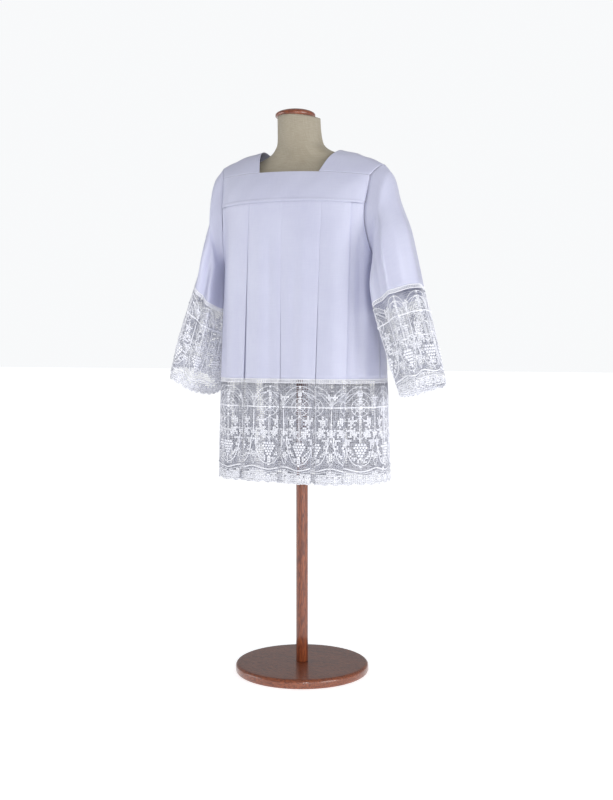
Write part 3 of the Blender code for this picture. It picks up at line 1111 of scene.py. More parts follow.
@dataclass
class SleeveForm:
    """The sleeve's hanging rings, each between a point on its top line and one on its under line."""

    body: WornBody
    side: Side
    rings: np.ndarray
    folds: tuple[SleeveFold, ...]
    head: float = 0.030
    seam_gap: float = 0.0004
    columns: int = 132

    @property
    def lengths(self) -> np.ndarray:
        """Each ring's distance down the top line."""
        return chain_lengths(self.rings[:, :2])

    def surface(self, start: float, stop: float, rows: int) -> Surface:
        """The sleeve between two distances down its top line, as a closed tube.

        Each ring is an ellipse between its top and under points, pushed outwards by the folds.

        Args:
            start: Where the tube starts.
            stop: Where it ends.
            rows: How many rows of quads it has.

        Returns:
            The tube's middle.
        """
        edges = {face: self.body.armhole_edge(face) for face in Face}
        degrees = np.linspace(0.0, 360.0, self.columns, endpoint=False)
        turn = np.radians(degrees)
        grid = []
        for at in np.linspace(start, stop, rows + 1):
            top_x, top_z, under_x, under_z, half_depth, ahead = (
                float(smooth_read(np.array(at), self.lengths, column)) for column in self.rings.T
            )
            swell = sum(fold.relief(degrees, at) for fold in self.folds)
            grow = 1 + swell / half_depth
            x = (top_x + under_x) / 2 + (top_x - under_x) / 2 * np.cos(turn) * grow
            z = (top_z + under_z) / 2 + (top_z - under_z) / 2 * np.cos(turn)
            y = -half_depth * np.sin(turn) * grow - ahead
            seam_share = max(0.0, 1 - at / self.head) ** 2
            for face, edge in edges.items():
                half = np.sin(turn) * face.value > 0.0
                out, away = (np.interp(z, edge[:, 2], edge[:, index]) for index in (0, 1))
                x = np.where(half, x + (out + self.seam_gap - x) * seam_share, x)
                y = np.where(half, y - (away * face.value + y) * seam_share, y)
            grid.append(np.stack([x * self.side.value, y, z], axis=-1))
        points = self.body.leaned(np.array(grid))
        return Surface(points[:, ::-1] if self.side is Side.LEFT else points, closed=True)


# ---- Lace ----


class Cord(Enum):
    """How thick a raised cord is: its radius in metres."""

    FINE = 0.00085
    PLAIN = 0.00125
    BOLD = 0.0019


@dataclass(frozen=True)
class VinePattern:
    """One repeat of the lace: arches, a rosette, a vine with leaves and grapes, and a shell border.

    Places are shares of the repeat's width either side of its stem, and of the lace's height down
    from its top edge.
    """

    repeat: float
    height: float
    scallops: int = 3
    scallop_depth: float = 0.0065
    picot: float = 0.0010
    ladder: float = 0.030
    grape: float = 0.0040
    grape_pitch: float = 0.0076
    rosette: float = 0.235
    wreath: float = 0.52
    shell: float = 0.905
    shell_size: float = 0.135

    def cords(self) -> list[tuple[np.ndarray, float]]:
        """The raised cords of one repeat.

        Returns:
            Each cord's points, as metres across and down, and its radius.
        """
        w, h = self.repeat, self.height
        t = np.linspace(0.0, 1.0, 15)
        short = np.linspace(0.0, 1.0, 7)
        found: list[tuple[np.ndarray, float]] = []

        def cord(x: np.ndarray, y: np.ndarray, size: Cord, both: bool = True) -> None:
            """Keep a cord, and its mirror image across the stem.

            Args:
                x: Shares of the repeat's width.
                y: Shares of the lace's height.
                size: Its thickness.
                both: Whether the mirror image is kept as well.
            """
            found.append((np.stack([x * w, y * h], axis=-1), size.value))
            if both:
                found.append((np.stack([-x * w, y * h], axis=-1), size.value))

        quarter = t * math.pi / 2
        rise, across = np.sin(quarter) ** 0.9, 1 - np.cos(quarter)
        cord(0.5 * across - 0.5, self.rosette - 0.205 * rise, Cord.FINE)
        cord(0.40 * across - 0.48, self.rosette - 0.145 * rise, Cord.FINE)
        cord(0.5 * short, 0.075 + 0.155 * short**1.5, Cord.FINE)
        full = np.linspace(0.0, 2 * math.pi, 25)
        for wide, tall in ((0.265, 0.088), (0.140, 0.046)):
            cord(wide * np.cos(full), self.rosette + tall * np.sin(full), Cord.FINE, False)
        for slope in (0.062, -0.062):
            cord(0.186 * short, self.rosette + slope * short, Cord.FINE)
        cord(short - 0.5, np.full_like(short, self.rosette), Cord.BOLD, False)
        cord(0.022 + 0 * short, 0.045 + 0.545 * short, Cord.FINE)
        cord(0.5 + 0 * short, 0.26 + 0.26 * short, Cord.PLAIN, False)
        cord(0.32 * np.sin(math.pi * t) ** 0.8 * (1 - 0.25 * t), 0.335 + 0.21 * t, Cord.FINE)
        cord(0.42 * t**0.7, 0.555 - 0.105 * np.sin(math.pi * t * 0.8), Cord.FINE)
        cord(0.43 * np.cos(quarter) ** 0.75, self.wreath + 0.285 * np.sin(quarter) ** 1.2, Cord.PLAIN)
        cord(0.5 - 0.12 * np.sin(math.pi * t), 0.56 + 0.25 * t, Cord.FINE)
        wave = np.cos(2 * math.pi * (t - 0.5))
        cord(t - 0.5, 0.846 + 0.016 * wave, Cord.BOLD, False)
        cord(t - 0.5, 0.874 + 0.012 * wave, Cord.FINE, False)
        for centre in np.arange(self.scallops) / self.scallops - 1 / 3:
            for tilt in (-1.15, -0.6, 0.0, 0.6, 1.15):
                rib = self.shell + 0.068 * short * math.cos(tilt)
                cord(centre + self.shell_size * short * math.sin(tilt), rib, Cord.FINE, False)
            arc = np.linspace(-1.35, 1.35, 9)
            rim = self.shell + 0.050 * np.cos(arc)
            cord(centre + self.shell_size * np.sin(arc), rim, Cord.FINE, False)
        return found

    def lumps(self) -> np.ndarray:
        """The raised lumps of one repeat.

        A bunch of grapes hangs under the stem in rows that shrink to one, and buds sit on the
        rosette, the crossings of the horizontal cord and the vine.

        Returns:
            Rows of metres across, metres down and a radius.
        """
        w, h = self.repeat, self.height
        lumps = []
        for row, count in enumerate((4, 5, 4, 3, 2, 1)):
            for at in range(count):
                x = (at - (count - 1) / 2) * self.grape_pitch
                lumps.append((x, 0.600 * h + row * 0.92 * self.grape_pitch, self.grape))
        buds = (
            (0.0, 0.235, 0.0052), (0.0, 0.034, 0.0034), (0.5, 0.235, 0.0044), (0.5, 0.400, 0.0030),
            (0.265, 0.235, 0.0030), (-0.265, 0.235, 0.0030), (0.0, 0.147, 0.0030), (0.0, 0.323, 0.0032),
            (0.25, 0.425, 0.0030), (-0.25, 0.425, 0.0030), (0.5, 0.560, 0.0036), (0.5, 0.862, 0.0030),
            (0.40, 0.455, 0.0026), (-0.40, 0.455, 0.0026), (0.0, 0.815, 0.0034),
        )
        lumps.extend((x * w, y * h, radius) for x, y, radius in buds)
        return np.array(lumps)

    def filled(self, across: np.ndarray, down: np.ndarray) -> np.ndarray:
        """Which cells of the net are darned solid.

        Args:
            across: Metres from the first repeat's edge.
            down: Metres from the lace's top edge.

        Returns:
            True where a cell is filled: inside a leaf, a bud, the wreath or the shell border.
        """
        x = np.mod(across, self.repeat) / self.repeat - 0.5
        y = down / self.height
        side = np.abs(x)

        def leaf(cx: float, cy: float, size: float, lobes: int, turn: float) -> np.ndarray:
            """A lobed leaf: a circle whose radius swells once for each lobe.

            Args:
                cx: Its centre, as a share of the repeat's width.
                cy: Its centre, as a share of the lace's height.
                size: Its radius.
                lobes: How many lobes it has.
                turn: How far it is turned, in radians.

            Returns:
                True inside it.
            """
            dx, dy = (side - cx) * self.repeat, (y - cy) * self.height
            angle = np.arctan2(dy, dx) + turn
            return np.hypot(dx, dy) < size * (0.78 + 0.30 * np.cos(lobes * angle))

        leaves = leaf(0.24, 0.370, 0.0125, 5, 0.4) | leaf(0.20, 0.485, 0.0150, 5, 1.9)
        leaves |= leaf(0.36, 0.565, 0.0105, 3, 0.6)
        buds = leaf(0.50, 0.490, 0.0100, 4, 0.0) | leaf(0.50, 0.700, 0.0120, 6, 0.3)
        crown = leaf(0.0, 0.105, 0.0095, 4, 0.8) | leaf(0.44, 0.140, 0.0080, 4, 0.0)
        crown |= leaf(0.0, 0.175, 0.0060, 4, 0.0)
        below = y - self.wreath
        wreath = np.abs(np.hypot(side / 0.43, below / 0.285) - 0.86) < 0.085
        wreath &= (y > 0.54) & (np.mod(np.arctan2(below, side) * 14, 2) < 1.3)
        border = y > 0.890 + 0.012 * np.cos(2 * math.pi * x)
        column, row = np.floor(across / 0.005), np.floor(down / 0.005)
        holes = (np.mod(column, 3) == 0) & (np.mod(row, 3) == 0) & (y < 0.96)
        return leaves | buds | crown | wreath | (border & ~holes)

    def lower_edge(self, across: np.ndarray) -> np.ndarray:
        """The scalloped lower edge: a row of arcs with smaller ones along each.

        Args:
            across: Metres from the first repeat's edge.

        Returns:
            Metres down.
        """
        turn = math.pi * self.scallops * across / self.repeat
        arcs = np.abs(np.sin(turn)) ** 0.7
        small = self.picot * np.abs(np.sin(5 * turn))
        return self.height - self.scallop_depth * (1 - arcs) - self.picot + small


@dataclass
class LaceStrip:
    """A strip of lace laid on a surface: its net, filled cells, cords, grapes and scalloped edge."""

    surface: Surface
    repeats: int
    shift: float = 0.0
    cell: float = 0.005
    thread_radius: float = 0.00062
    thread_width: float = 2.3
    thread_sides: int = 3
    thread_steps: int = 13
    crossing_out: float = 0.0002
    darn_front: float = 0.94
    darn_back: float = 0.84
    darn_out: float = 0.00060
    darn_in: float = 0.00030
    cord_out: float = 0.6
    end_margin: float = 0.002
    edge_cord: float = 0.0013
    edge_inset: float = 0.0008
    edge_out: float = 0.0004
    edge_steps: int = 12

    @property
    def pattern(self) -> VinePattern:
        """The vine pattern at this strip's repeat and height."""
        return VinePattern(self.surface.width / self.repeats, self.surface.length)

    @property
    def thread_area(self) -> float:
        """The area that the net's threads cover: all but the square holes."""
        return self.surface.area * (1 - (1 - self.thread_width * self.thread_radius / self.cell) ** 2)

    @property
    def centres(self) -> np.ndarray:
        """Where the repeats' stems are along the strip, with one more at each end of an open one.

        Returns:
            Metres from the strip's first column.
        """
        extra = 0 if self.surface.closed else 1
        count = np.arange(-extra, self.repeats + extra)
        return (count + 0.5) * self.pattern.repeat + self.shift

    def net(self) -> MeshParts:
        """Lay upright threads to the scalloped edge, and crossing ones round the whole strip.

        Returns:
            The net.
        """
        surface, pattern = self.surface, self.pattern
        parts = MeshParts()
        count = round(surface.width / self.cell)
        across = np.linspace(0.0, surface.width, count + 1)
        across = across[:-1] if surface.closed else across[1:-1]
        share = np.linspace(0.0, 1.0, self.thread_steps)
        lower = pattern.lower_edge(across - self.shift)
        size = (self.thread_radius, self.thread_sides)
        parts.add_threads(surface, across[:, None], lower[:, None] * share, 0.0, *size)
        downs = np.arange(pattern.ladder, 1 - pattern.scallop_depth / surface.length,
                          self.cell / surface.length) * surface.length
        columns = surface.along[:-1] if surface.closed else surface.along
        parts.add_threads(
            surface, columns[None, :], downs[:, None], self.crossing_out, *size, surface.closed
        )
        return parts

    def vine(self) -> MeshParts:
        """Gather all that is raised on the net: filled cells, cords, grapes and the bound lower edge.

        Returns:
            The raised work.
        """
        parts = MeshParts()
        self._cells(parts)
        self._cords(parts)
        self._lumps(parts)
        return parts

    def _cells(self, parts: MeshParts) -> None:
        """Fill the pattern's solid cells with small darned squares, bevelled behind.

        Args:
            parts: Where they are gathered.
        """
        surface, pattern, cell = self.surface, self.pattern, self.cell
        count = round(surface.width / cell)
        width = surface.width / count
        across = (np.arange(count) + 0.5) * width
        down = pattern.ladder * surface.length + (np.arange(int(surface.length / cell)) + 0.5) * cell
        u, v = np.meshgrid(across, down)
        u, v = u.ravel(), v.ravel()
        keep = pattern.filled(u - self.shift, v) & (v + cell * 0.4 < pattern.lower_edge(u - self.shift))
        u, v = u[keep], v[keep]
        corner_u = np.array([-0.5, -0.5, 0.5, 0.5]) * width
        corner_v = np.array([-0.5, 0.5, 0.5, -0.5]) * cell
        points = np.concatenate([
            surface.at(u[:, None] + corner_u * size, v[:, None] + corner_v * size, out)
            for size, out in ((self.darn_front, self.darn_out), (self.darn_back, -self.darn_in))
        ], axis=1)
        index = np.arange(len(u))[:, None] * 8
        box = np.array([
            (0, 1, 2, 3), (7, 6, 5, 4), (0, 4, 5, 1), (1, 5, 6, 2), (2, 6, 7, 3), (3, 7, 4, 0)
        ])
        parts.add(points, (index[:, None] + box).reshape(-1, 4))

    def _cords(self, parts: MeshParts) -> None:
        """Lay each repeat's raised cords, and the cord along the scalloped edge.

        Args:
            parts: Where they are gathered.
        """
        surface, pattern = self.surface, self.pattern
        for line, radius in pattern.cords():
            along = self.centres[:, None] + line[None, :, 0]
            down = np.repeat(line[None, :, 1], len(along), axis=0)
            if not surface.closed:
                reach = surface.width - self.end_margin
                inside = (along.max(axis=1) > self.end_margin) & (along.min(axis=1) < reach)
                along = np.clip(along[inside], radius, surface.width - radius)
                down = down[inside]
            down = np.minimum(down, pattern.lower_edge(along - self.shift) - radius)
            sides = 5 if radius > Cord.FINE.value else 4
            parts.add_threads(surface, along, down, self.cord_out * radius, radius, sides)
        steps = self.repeats * pattern.scallops * self.edge_steps
        ends = np.linspace(0.0, surface.width, steps + 1)
        ends = ends[:-1] if surface.closed else ends
        down = pattern.lower_edge(ends - self.shift) - self.edge_inset
        parts.add_threads(
            surface, ends[None], down[None], self.edge_out, self.edge_cord, 5, surface.closed
        )

    def _lumps(self, parts: MeshParts) -> None:
        """Raise each repeat's grapes and buds.

        Args:
            parts: Where they are gathered.
        """
        surface = self.surface
        lumps = self.pattern.lumps()
        along = (self.centres[:, None] + lumps[None, :, 0]).ravel()
        down = np.tile(lumps[:, 1], len(self.centres))
        radius = np.tile(lumps[:, 2], len(self.centres))
        if not surface.closed:
            inside = (along > radius) & (along < surface.width - radius)
            along, down, radius = along[inside], down[inside], radius[inside]
        parts.add_domes(surface, along, down, radius, 8)


@dataclass
class Insertion:
    """The openwork band between cloth and lace: bars bound in bundles between two knotted edges."""

    surface: Surface
    bar: float = 0.0026
    bar_radius: float = 0.0005
    pinch: float = 0.30
    knot: float = 0.0052
    knot_radius: float = 0.0016
    rails: tuple[tuple[float, float, int], ...] = (
        # share of the band's depth, radius, sides
        (0.06, 0.0010, 5),
        (0.22, 0.0005, 4),
        (0.50, 0.0006, 4),
        (0.78, 0.0005, 4),
        (0.94, 0.0010, 5),
    )

    def parts(self) -> MeshParts:
        """Gather the band's rails, its bars, pinched in pairs, and its two rows of knots.

        Returns:
            The band.
        """
        surface = self.surface
        parts = MeshParts()
        columns = (surface.along[:-1] if surface.closed else surface.along)[None, :]
        length = surface.length
        for share, radius, sides in self.rails:
            rail = np.full_like(columns, share * length)
            parts.add_threads(surface, columns, rail, 0.0, radius, sides, surface.closed)
        count = 2 * round(surface.width / self.bar / 2)
        places = (np.arange(count) + 0.5) * surface.width / count
        t = np.linspace(0.0, 1.0, 5)
        toward = np.where(np.arange(count) % 2 == 0, 1.0, -1.0)[:, None]
        pinch = toward * self.pinch * np.sin(math.pi * t)
        along = places[:, None] + pinch * surface.width / count
        parts.add_threads(surface, along, t * length, 0.0, self.bar_radius, 4)
        knots = round(surface.width / self.knot)
        at = (np.arange(knots) + 0.5) * surface.width / knots
        for share in (0.12, 0.88):
            row = np.full_like(at, share * length)
            parts.add_domes(surface, at, row, np.full_like(at, self.knot_radius), 6)
        return parts


@dataclass(frozen=True)
class Stitching:
    """A row of small straight stitches that stand on a surface."""

    length: float = 0.0024
    gap: float = 0.0010
    radius: float = 0.00022
    sunk: float = 0.0002
    raised: float = 0.00045

    def lay(self, parts: MeshParts, surface: Surface, along: np.ndarray, down: np.ndarray) -> None:
        """Sew along a line.

        Args:
            parts: Where the stitches are gathered.
            surface: The cloth.
            along: The line's distances along it.
            down: The line's distances down it.
        """
        line = chain_lengths(np.stack([along, down], axis=-1))
        count = max(2, int(line[-1] / (self.length + self.gap)))
        starts = np.arange(count) * line[-1] / count
        at = starts[:, None] + np.linspace(0.0, self.length, 4)
        lift = np.array([-self.sunk, self.raised, self.raised, -self.sunk])
        u, v = np.interp(at, line, along), np.interp(at, line, down)
        parts.add_threads(surface, u, v, lift, self.radius, 4)


# ---- Sub-assemblies ----


@dataclass
class Finishes:
    """The materials that the pieces share."""

    cloth: bpy.types.Material = field(default_factory=lambda: SmoothCloth().build())
    lace: bpy.types.Material = field(default_factory=lambda: LaceThread().build())
    # The net's yarn is the same white cotton as the raised work, given darker colours as painted shade:
    # a shaded copy of the lace thread.
    net: bpy.types.Material = field(default_factory=lambda: LaceThread(
        "net_thread_painted_shade", (0.66, 0.67, 0.74, 1.0), (0.54, 0.55, 0.63, 1.0)
    ).build())
    band: bpy.types.Material = field(default_factory=lambda: LaceThread(
        "insertion_thread", (0.88, 0.88, 0.93, 1.0)
    ).build())
    linen: bpy.types.Material = field(default_factory=lambda: FormLinen().build())


@dataclass
class GarmentCut:
    """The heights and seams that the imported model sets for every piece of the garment."""

    insertion_top: float
    cloth_end: float
    hem: float
    insertion_width: float = 0.011
    thickness: float = 0.0007

    @classmethod
    def from_frame(cls) -> GarmentCut:
        """Read the seams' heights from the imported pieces.

        Returns:
            The cut.
        """
        body_low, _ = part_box("body_front")
        lace_low, lace_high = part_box("hem_lace_front")
        return cls(float(body_low[2]), float(lace_high[2]), float(lace_low[2]))


def dress_lace(strip: LaceStrip, edge: str, word: str, finishes: Finishes) -> None:
    """Make a strip of lace as two pieces, its net and the work raised on it.

    Args:
        strip: The strip.
        edge: Which edge of the garment it trims.
        word: Which half or side of the garment it is on.
        finishes: The materials.
    """
    surface = strip.surface
    net = add_piece(f"{edge}_net_{word}", strip.net().mesh(f"{edge}_net_{word}"), finishes.net)
    vine = add_piece(f"{edge}_vine_{word}", strip.vine().mesh(f"{edge}_vine_{word}"), finishes.lace)
    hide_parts(f"{edge}_lace_{word}")
    surface.widest
    surface.longest
    strip.thread_area


@dataclass
class BodyPanels:
    """The pleated front and back, each with its insertion and lace."""

    body: WornBody
    cut: GarmentCut
    finishes: Finishes
    repeats: int = 13
    shift: float = -0.036
    tuck: float = 0.0008
    under_yoke: float = 0.004
    band_gap: float = 0.0002
    cloth_rows: int = 44
    band_rows: int = 4
    lace_rows: int = 22
    front_lines: np.ndarray = field(default_factory=lambda: np.array([
        # at_yoke, at_cloth_end, underlap, how far open above the lace
        (-0.191, -0.194, 0.026, 0.6),
        (-0.100, -0.112, 0.034, 1.0),
        (0.000, 0.000, 0.044, 0.3),
        (0.112, 0.101, 0.034, 0.35),
        (0.189, 0.184, 0.030, 0.6),
    ]))
    back_lines: np.ndarray = field(default_factory=lambda: np.array([
        # at_yoke, at_cloth_end, underlap, how far open above the lace
        (-0.190, -0.190, 0.028, 0.5),
        (-0.098, -0.103, 0.038, 0.4),
        (0.000, 0.003, 0.048, 0.8),
        (0.101, 0.108, 0.040, 0.5),
        (0.191, 0.196, 0.028, 0.6),
    ]))
    front_folds: tuple[Fold, ...] = (
        # along, lean, top, bottom, width, height
        Fold(-0.165, -0.004, 1.255, 0.52, 0.020, 0.0020),
        Fold(-0.128, -0.002, 1.235, 0.60, 0.012, -0.0026),
        Fold(-0.066, 0.002, 1.262, 0.52, 0.013, 0.0018),
        Fold(-0.036, 0.006, 1.262, 0.56, 0.011, -0.0034),
        Fold(0.040, -0.006, 1.180, 0.55, 0.012, -0.0028),
        Fold(0.066, -0.004, 1.240, 0.52, 0.015, 0.0020),
        Fold(0.150, -0.004, 1.250, 0.52, 0.022, 0.0022),
        Fold(0.216, 0.004, 1.235, 0.56, 0.011, -0.0034),
        Fold(0.238, 0.004, 1.080, 0.52, 0.013, 0.0024),
        Fold(-0.214, -0.004, 1.262, 1.10, 0.008, -0.0040),
        Fold(-0.236, 0.002, 1.090, 0.52, 0.014, 0.0026),
    )
    back_folds: tuple[Fold, ...] = (
        # along, lean, top, bottom, width, height
        Fold(-0.160, 0.003, 1.250, 0.52, 0.018, 0.0022),
        Fold(-0.130, 0.006, 1.230, 0.58, 0.012, -0.0030),
        Fold(-0.054, -0.004, 1.262, 0.52, 0.014, 0.0020),
        Fold(-0.028, 0.004, 1.200, 0.55, 0.010, -0.0026),
        Fold(0.046, 0.005, 1.255, 0.55, 0.012, -0.0032),
        Fold(0.074, 0.002, 1.240, 0.52, 0.014, 0.0018),
        Fold(0.148, 0.006, 1.250, 0.52, 0.020, 0.0022),
        Fold(0.218, 0.004, 1.230, 0.56, 0.012, -0.0034),
        Fold(-0.218, -0.004, 1.240, 0.56, 0.012, -0.0034),
        Fold(0.246, 0.004, 1.080, 0.52, 0.014, 0.0024),
        Fold(-0.246, -0.002, 1.080, 0.52, 0.014, 0.0024),
    )

    def build(self) -> None:
        """Make both halves."""
        for face in Face:
            lines = self.front_lines if face is Face.FRONT else self.back_lines
            folds = self.front_folds if face is Face.FRONT else self.back_folds
            panel = PleatedPanel(self.body, face, self.cut.cloth_end, lines, folds)
            band = self._insertion(panel, face)
            self._cloth(panel, face, band)
            self._lace(panel, face)

    def _cloth(self, panel: PleatedPanel, face: Face, band: bpy.types.Object) -> None:
        """Make the pleated cloth, from under the yoke down to the insertion.

        Args:
            panel: The pleated panel.
            face: Which half.
            band: The openwork band on its lower edge; not used.
        """
        cut = self.cut
        top = self.body.yoke_seam + self.under_yoke
        surface = panel.surface(top, cut.insertion_top, self.cloth_rows, self.tuck)
        name = f"pleated_{face.word}"
        piece = add_wall(name, surface, self.finishes.cloth, cut.thickness)
        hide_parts(f"body_{face.word}")

    def _insertion(self, panel: PleatedPanel, face: Face) -> bpy.types.Object:
        """Make the openwork band between the cloth and the lace.

        Args:
            panel: The pleated panel.
            face: Which half.

        Returns:
            The band.
        """
        cut, gap = self.cut, self.band_gap
        surface = panel.surface(cut.insertion_top - gap, cut.cloth_end + gap, self.band_rows)
        name = f"hem_band_{face.word}"
        piece = add_piece(name, Insertion(surface).parts().mesh(name), self.finishes.band)
        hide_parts(f"hem_insertion_{face.word}")
        return piece

    def _lace(self, panel: PleatedPanel, face: Face) -> None:
        """Make the lace flounce, its net and its raised work as two pieces.

        Args:
            panel: The pleated panel.
            face: Which half.
        """
        surface = panel.surface(self.cut.cloth_end, self.cut.hem, self.lace_rows)
        strip = LaceStrip(surface, self.repeats, self.shift)
        dress_lace(strip, "hem", face.word, self.finishes)


@dataclass
class Shoulders:
    """The yokes and the shoulder pieces, with their turned and stitched edges."""

    body: WornBody
    cut: GarmentCut
    finishes: Finishes
    necklines: dict[Face, tuple[float, float]] = field(default_factory=lambda: {
        # the seam's height at its middle, and how far in front of the middle it is there
        Face.FRONT: (1.3345, 0.078),
        Face.BACK: (1.349, 0.081),
    })
    reach: float = 0.250
    squareness: float = 2.2
    drop: float = 0.008
    drop_at: float = 0.225
    crown: float = 0.003
    swell: float = 0.005
    seam_end: float = 0.002
    top_seam: float = 0.0022
    foot_seam: float = 0.0032
    seam_lift: float = 0.0003
    seam_gap: float = 0.0004
    lip: float = 0.0006
    lip_turn: float = 0.0011
    wave: float = 0.0007
    wrinkle: float = 0.0011
    shoulder_lip: float = 0.0004
    shoulder_lift: float = 0.0006
    yoke_columns: int = 97
    shoulder_columns: int = 49
    neck_edge: np.ndarray = field(default_factory=lambda: np.array([
        # out, back, height
        (0.0880, -0.0730, 1.3340),
        (0.1030, -0.0450, 1.3740),
        (0.1140, -0.0120, 1.3950),
        (0.1150, 0.0150, 1.3970),
        (0.1080, 0.0450, 1.3820),
        (0.0930, 0.0770, 1.3485),
    ]))

    def seam_line(self, x: np.ndarray, face: Face) -> np.ndarray:
        """The seam along a yoke's top: a flat superellipse that drops towards the armholes.

        Args:
            x: Distances to the wearer's left.
            face: Which yoke.

        Returns:
            The seam's points, turned to the front.
        """
        neckline, depth = self.necklines[face]
        away = np.abs(x) / self.reach
        y = -depth * (1 - away**self.squareness) ** (1 / self.squareness)
        return np.stack([x, y, neckline - self.drop * (x / self.drop_at) ** 2], axis=-1)

    def yoke(self, face: Face) -> Surface:
        """A yoke, from its neckline down to the pleats, with a lip along its lower edge.

        Args:
            face: Which yoke.

        Returns:
            The yoke's middle.
        """
        body = self.body
        ahead = (face.value, face.value, 1)
        seam = body.yoke_seam + self.seam_lift
        across = np.linspace(-1.0, 1.0, self.yoke_columns)
        edge = body.edge(seam, face, self.seam_gap)
        lower = body.points(seam, across * edge, 0 * across, face) * ahead
        half_width = float(body.seam_out(np.array(body.shoulder_end)))
        upper = self.seam_line(across * half_width, face)
        share = np.concatenate([
            np.linspace(0.0, 0.04, 4), np.linspace(0.06, 0.88, 22), np.linspace(0.90, 1.0, 15)
        ])[:, None, None]
        crown = self.crown * np.sin(math.pi * share)
        points = upper * (1 - share) + lower * share
        lip = self.lip * ease((share - 0.90) / 0.03) - self.lip_turn * ease((share - 0.985) / 0.015)
        wave = self.wave * np.sin(across * 17.0 + 3.0 * share[..., 0])[..., None]
        wave = wave * np.sin(math.pi * share)
        out = (crown + wave) * ease((1 - np.abs(across)) * 9.0)[:, None] + lip
        points = points + np.concatenate([0 * out, -out, 0.4 * out], axis=-1)
        return Surface(body.leaned(points * ahead))

    def shoulder(self, side: Side) -> Surface:
        """A shoulder piece, between its neck edge and the armhole, from yoke to yoke.

        Args:
            side: Which shoulder.

        Returns:
            The piece's middle.
        """
        body = self.body
        count = self.shoulder_columns
        share = np.linspace(0.0, 1.0, count)
        turn = np.linspace(body.shoulder_turn, math.pi - body.shoulder_turn, count)
        height = body.armhole_centre + body.armhole_half_height * np.sin(turn)
        depth = -body.armhole_half_depth * np.cos(turn)
        outer = np.stack([body.seam_out(height), depth, height], axis=-1)
        places = np.linspace(0.0, 1.0, len(self.neck_edge))
        inner = np.stack([smooth_read(share, places, column) for column in self.neck_edge.T], axis=-1)
        steps = np.concatenate([np.linspace(0.0, 0.03, 4), np.linspace(0.05, 1.0, 28)])
        front = self.seam_line(inner[0, 0] + (outer[0, 0] - inner[0, 0]) * steps, Face.FRONT)
        back = self.seam_line(inner[-1, 0] + (outer[-1, 0] - inner[-1, 0]) * steps, Face.BACK)
        back = back * (1, -1, 1)
        step = steps[:, None, None]
        points = inner * (1 - step) + outer * step
        arch = np.sin(math.pi * share)[None, :]
        points[..., 2] += self.swell * np.sin(math.pi * steps)[:, None] * arch
        fade = ease(1 - share * 4)[:, None]
        points = points + (front[:, None] - points[:, :1]) * fade
        points = points + (back[:, None] - points[:, -1:]) * fade[::-1]
        points[:, (0, -1), 2] += self.shoulder_lift
        slant = steps[:, None] * 0.9 + share[None, :] * 1.3
        wrinkle = self.wrinkle * np.sin(slant * 15.0) * arch**2
        wrinkle = wrinkle * ease(steps[:, None] * 2.0) * ease((1.05 - steps[:, None]) * 3.0)
        lip = self.shoulder_lip * ease((0.035 - steps) / 0.015)[:, None]
        points[..., 2] += wrinkle + lip
        points = body.leaned(points * (side.value, 1, 1))
        return Surface(points[:, ::-1] if side is Side.RIGHT else points)

    def build(self) -> None:
        """Make the yokes and the shoulder pieces, and sew their edges."""
        cut, cloth = self.cut, self.finishes.cloth
        sewing = Stitching()
        for face in Face:
            surface = self.yoke(face)
            piece = add_wall(f"yoke_{face.word}_cloth", surface, cloth, cut.thickness)
            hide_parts(f"yoke_{face.word}")
            stitches = MeshParts()
            whole = np.linspace(self.seam_end, surface.width - self.seam_end, 60)
            for down in (self.top_seam, surface.length - self.foot_seam):
                sewing.lay(stitches, surface, whole, np.full_like(whole, down))
            name = f"yoke_{face.word}_stitches"
            thread = add_piece(name, stitches.mesh(name), self.finishes.band)
        for side in Side:
            surface = self.shoulder(side)
            piece = add_wall(f"shoulder_{side.word}_cloth", surface, cloth, cut.thickness)
            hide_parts(f"shoulder_{side.word}")


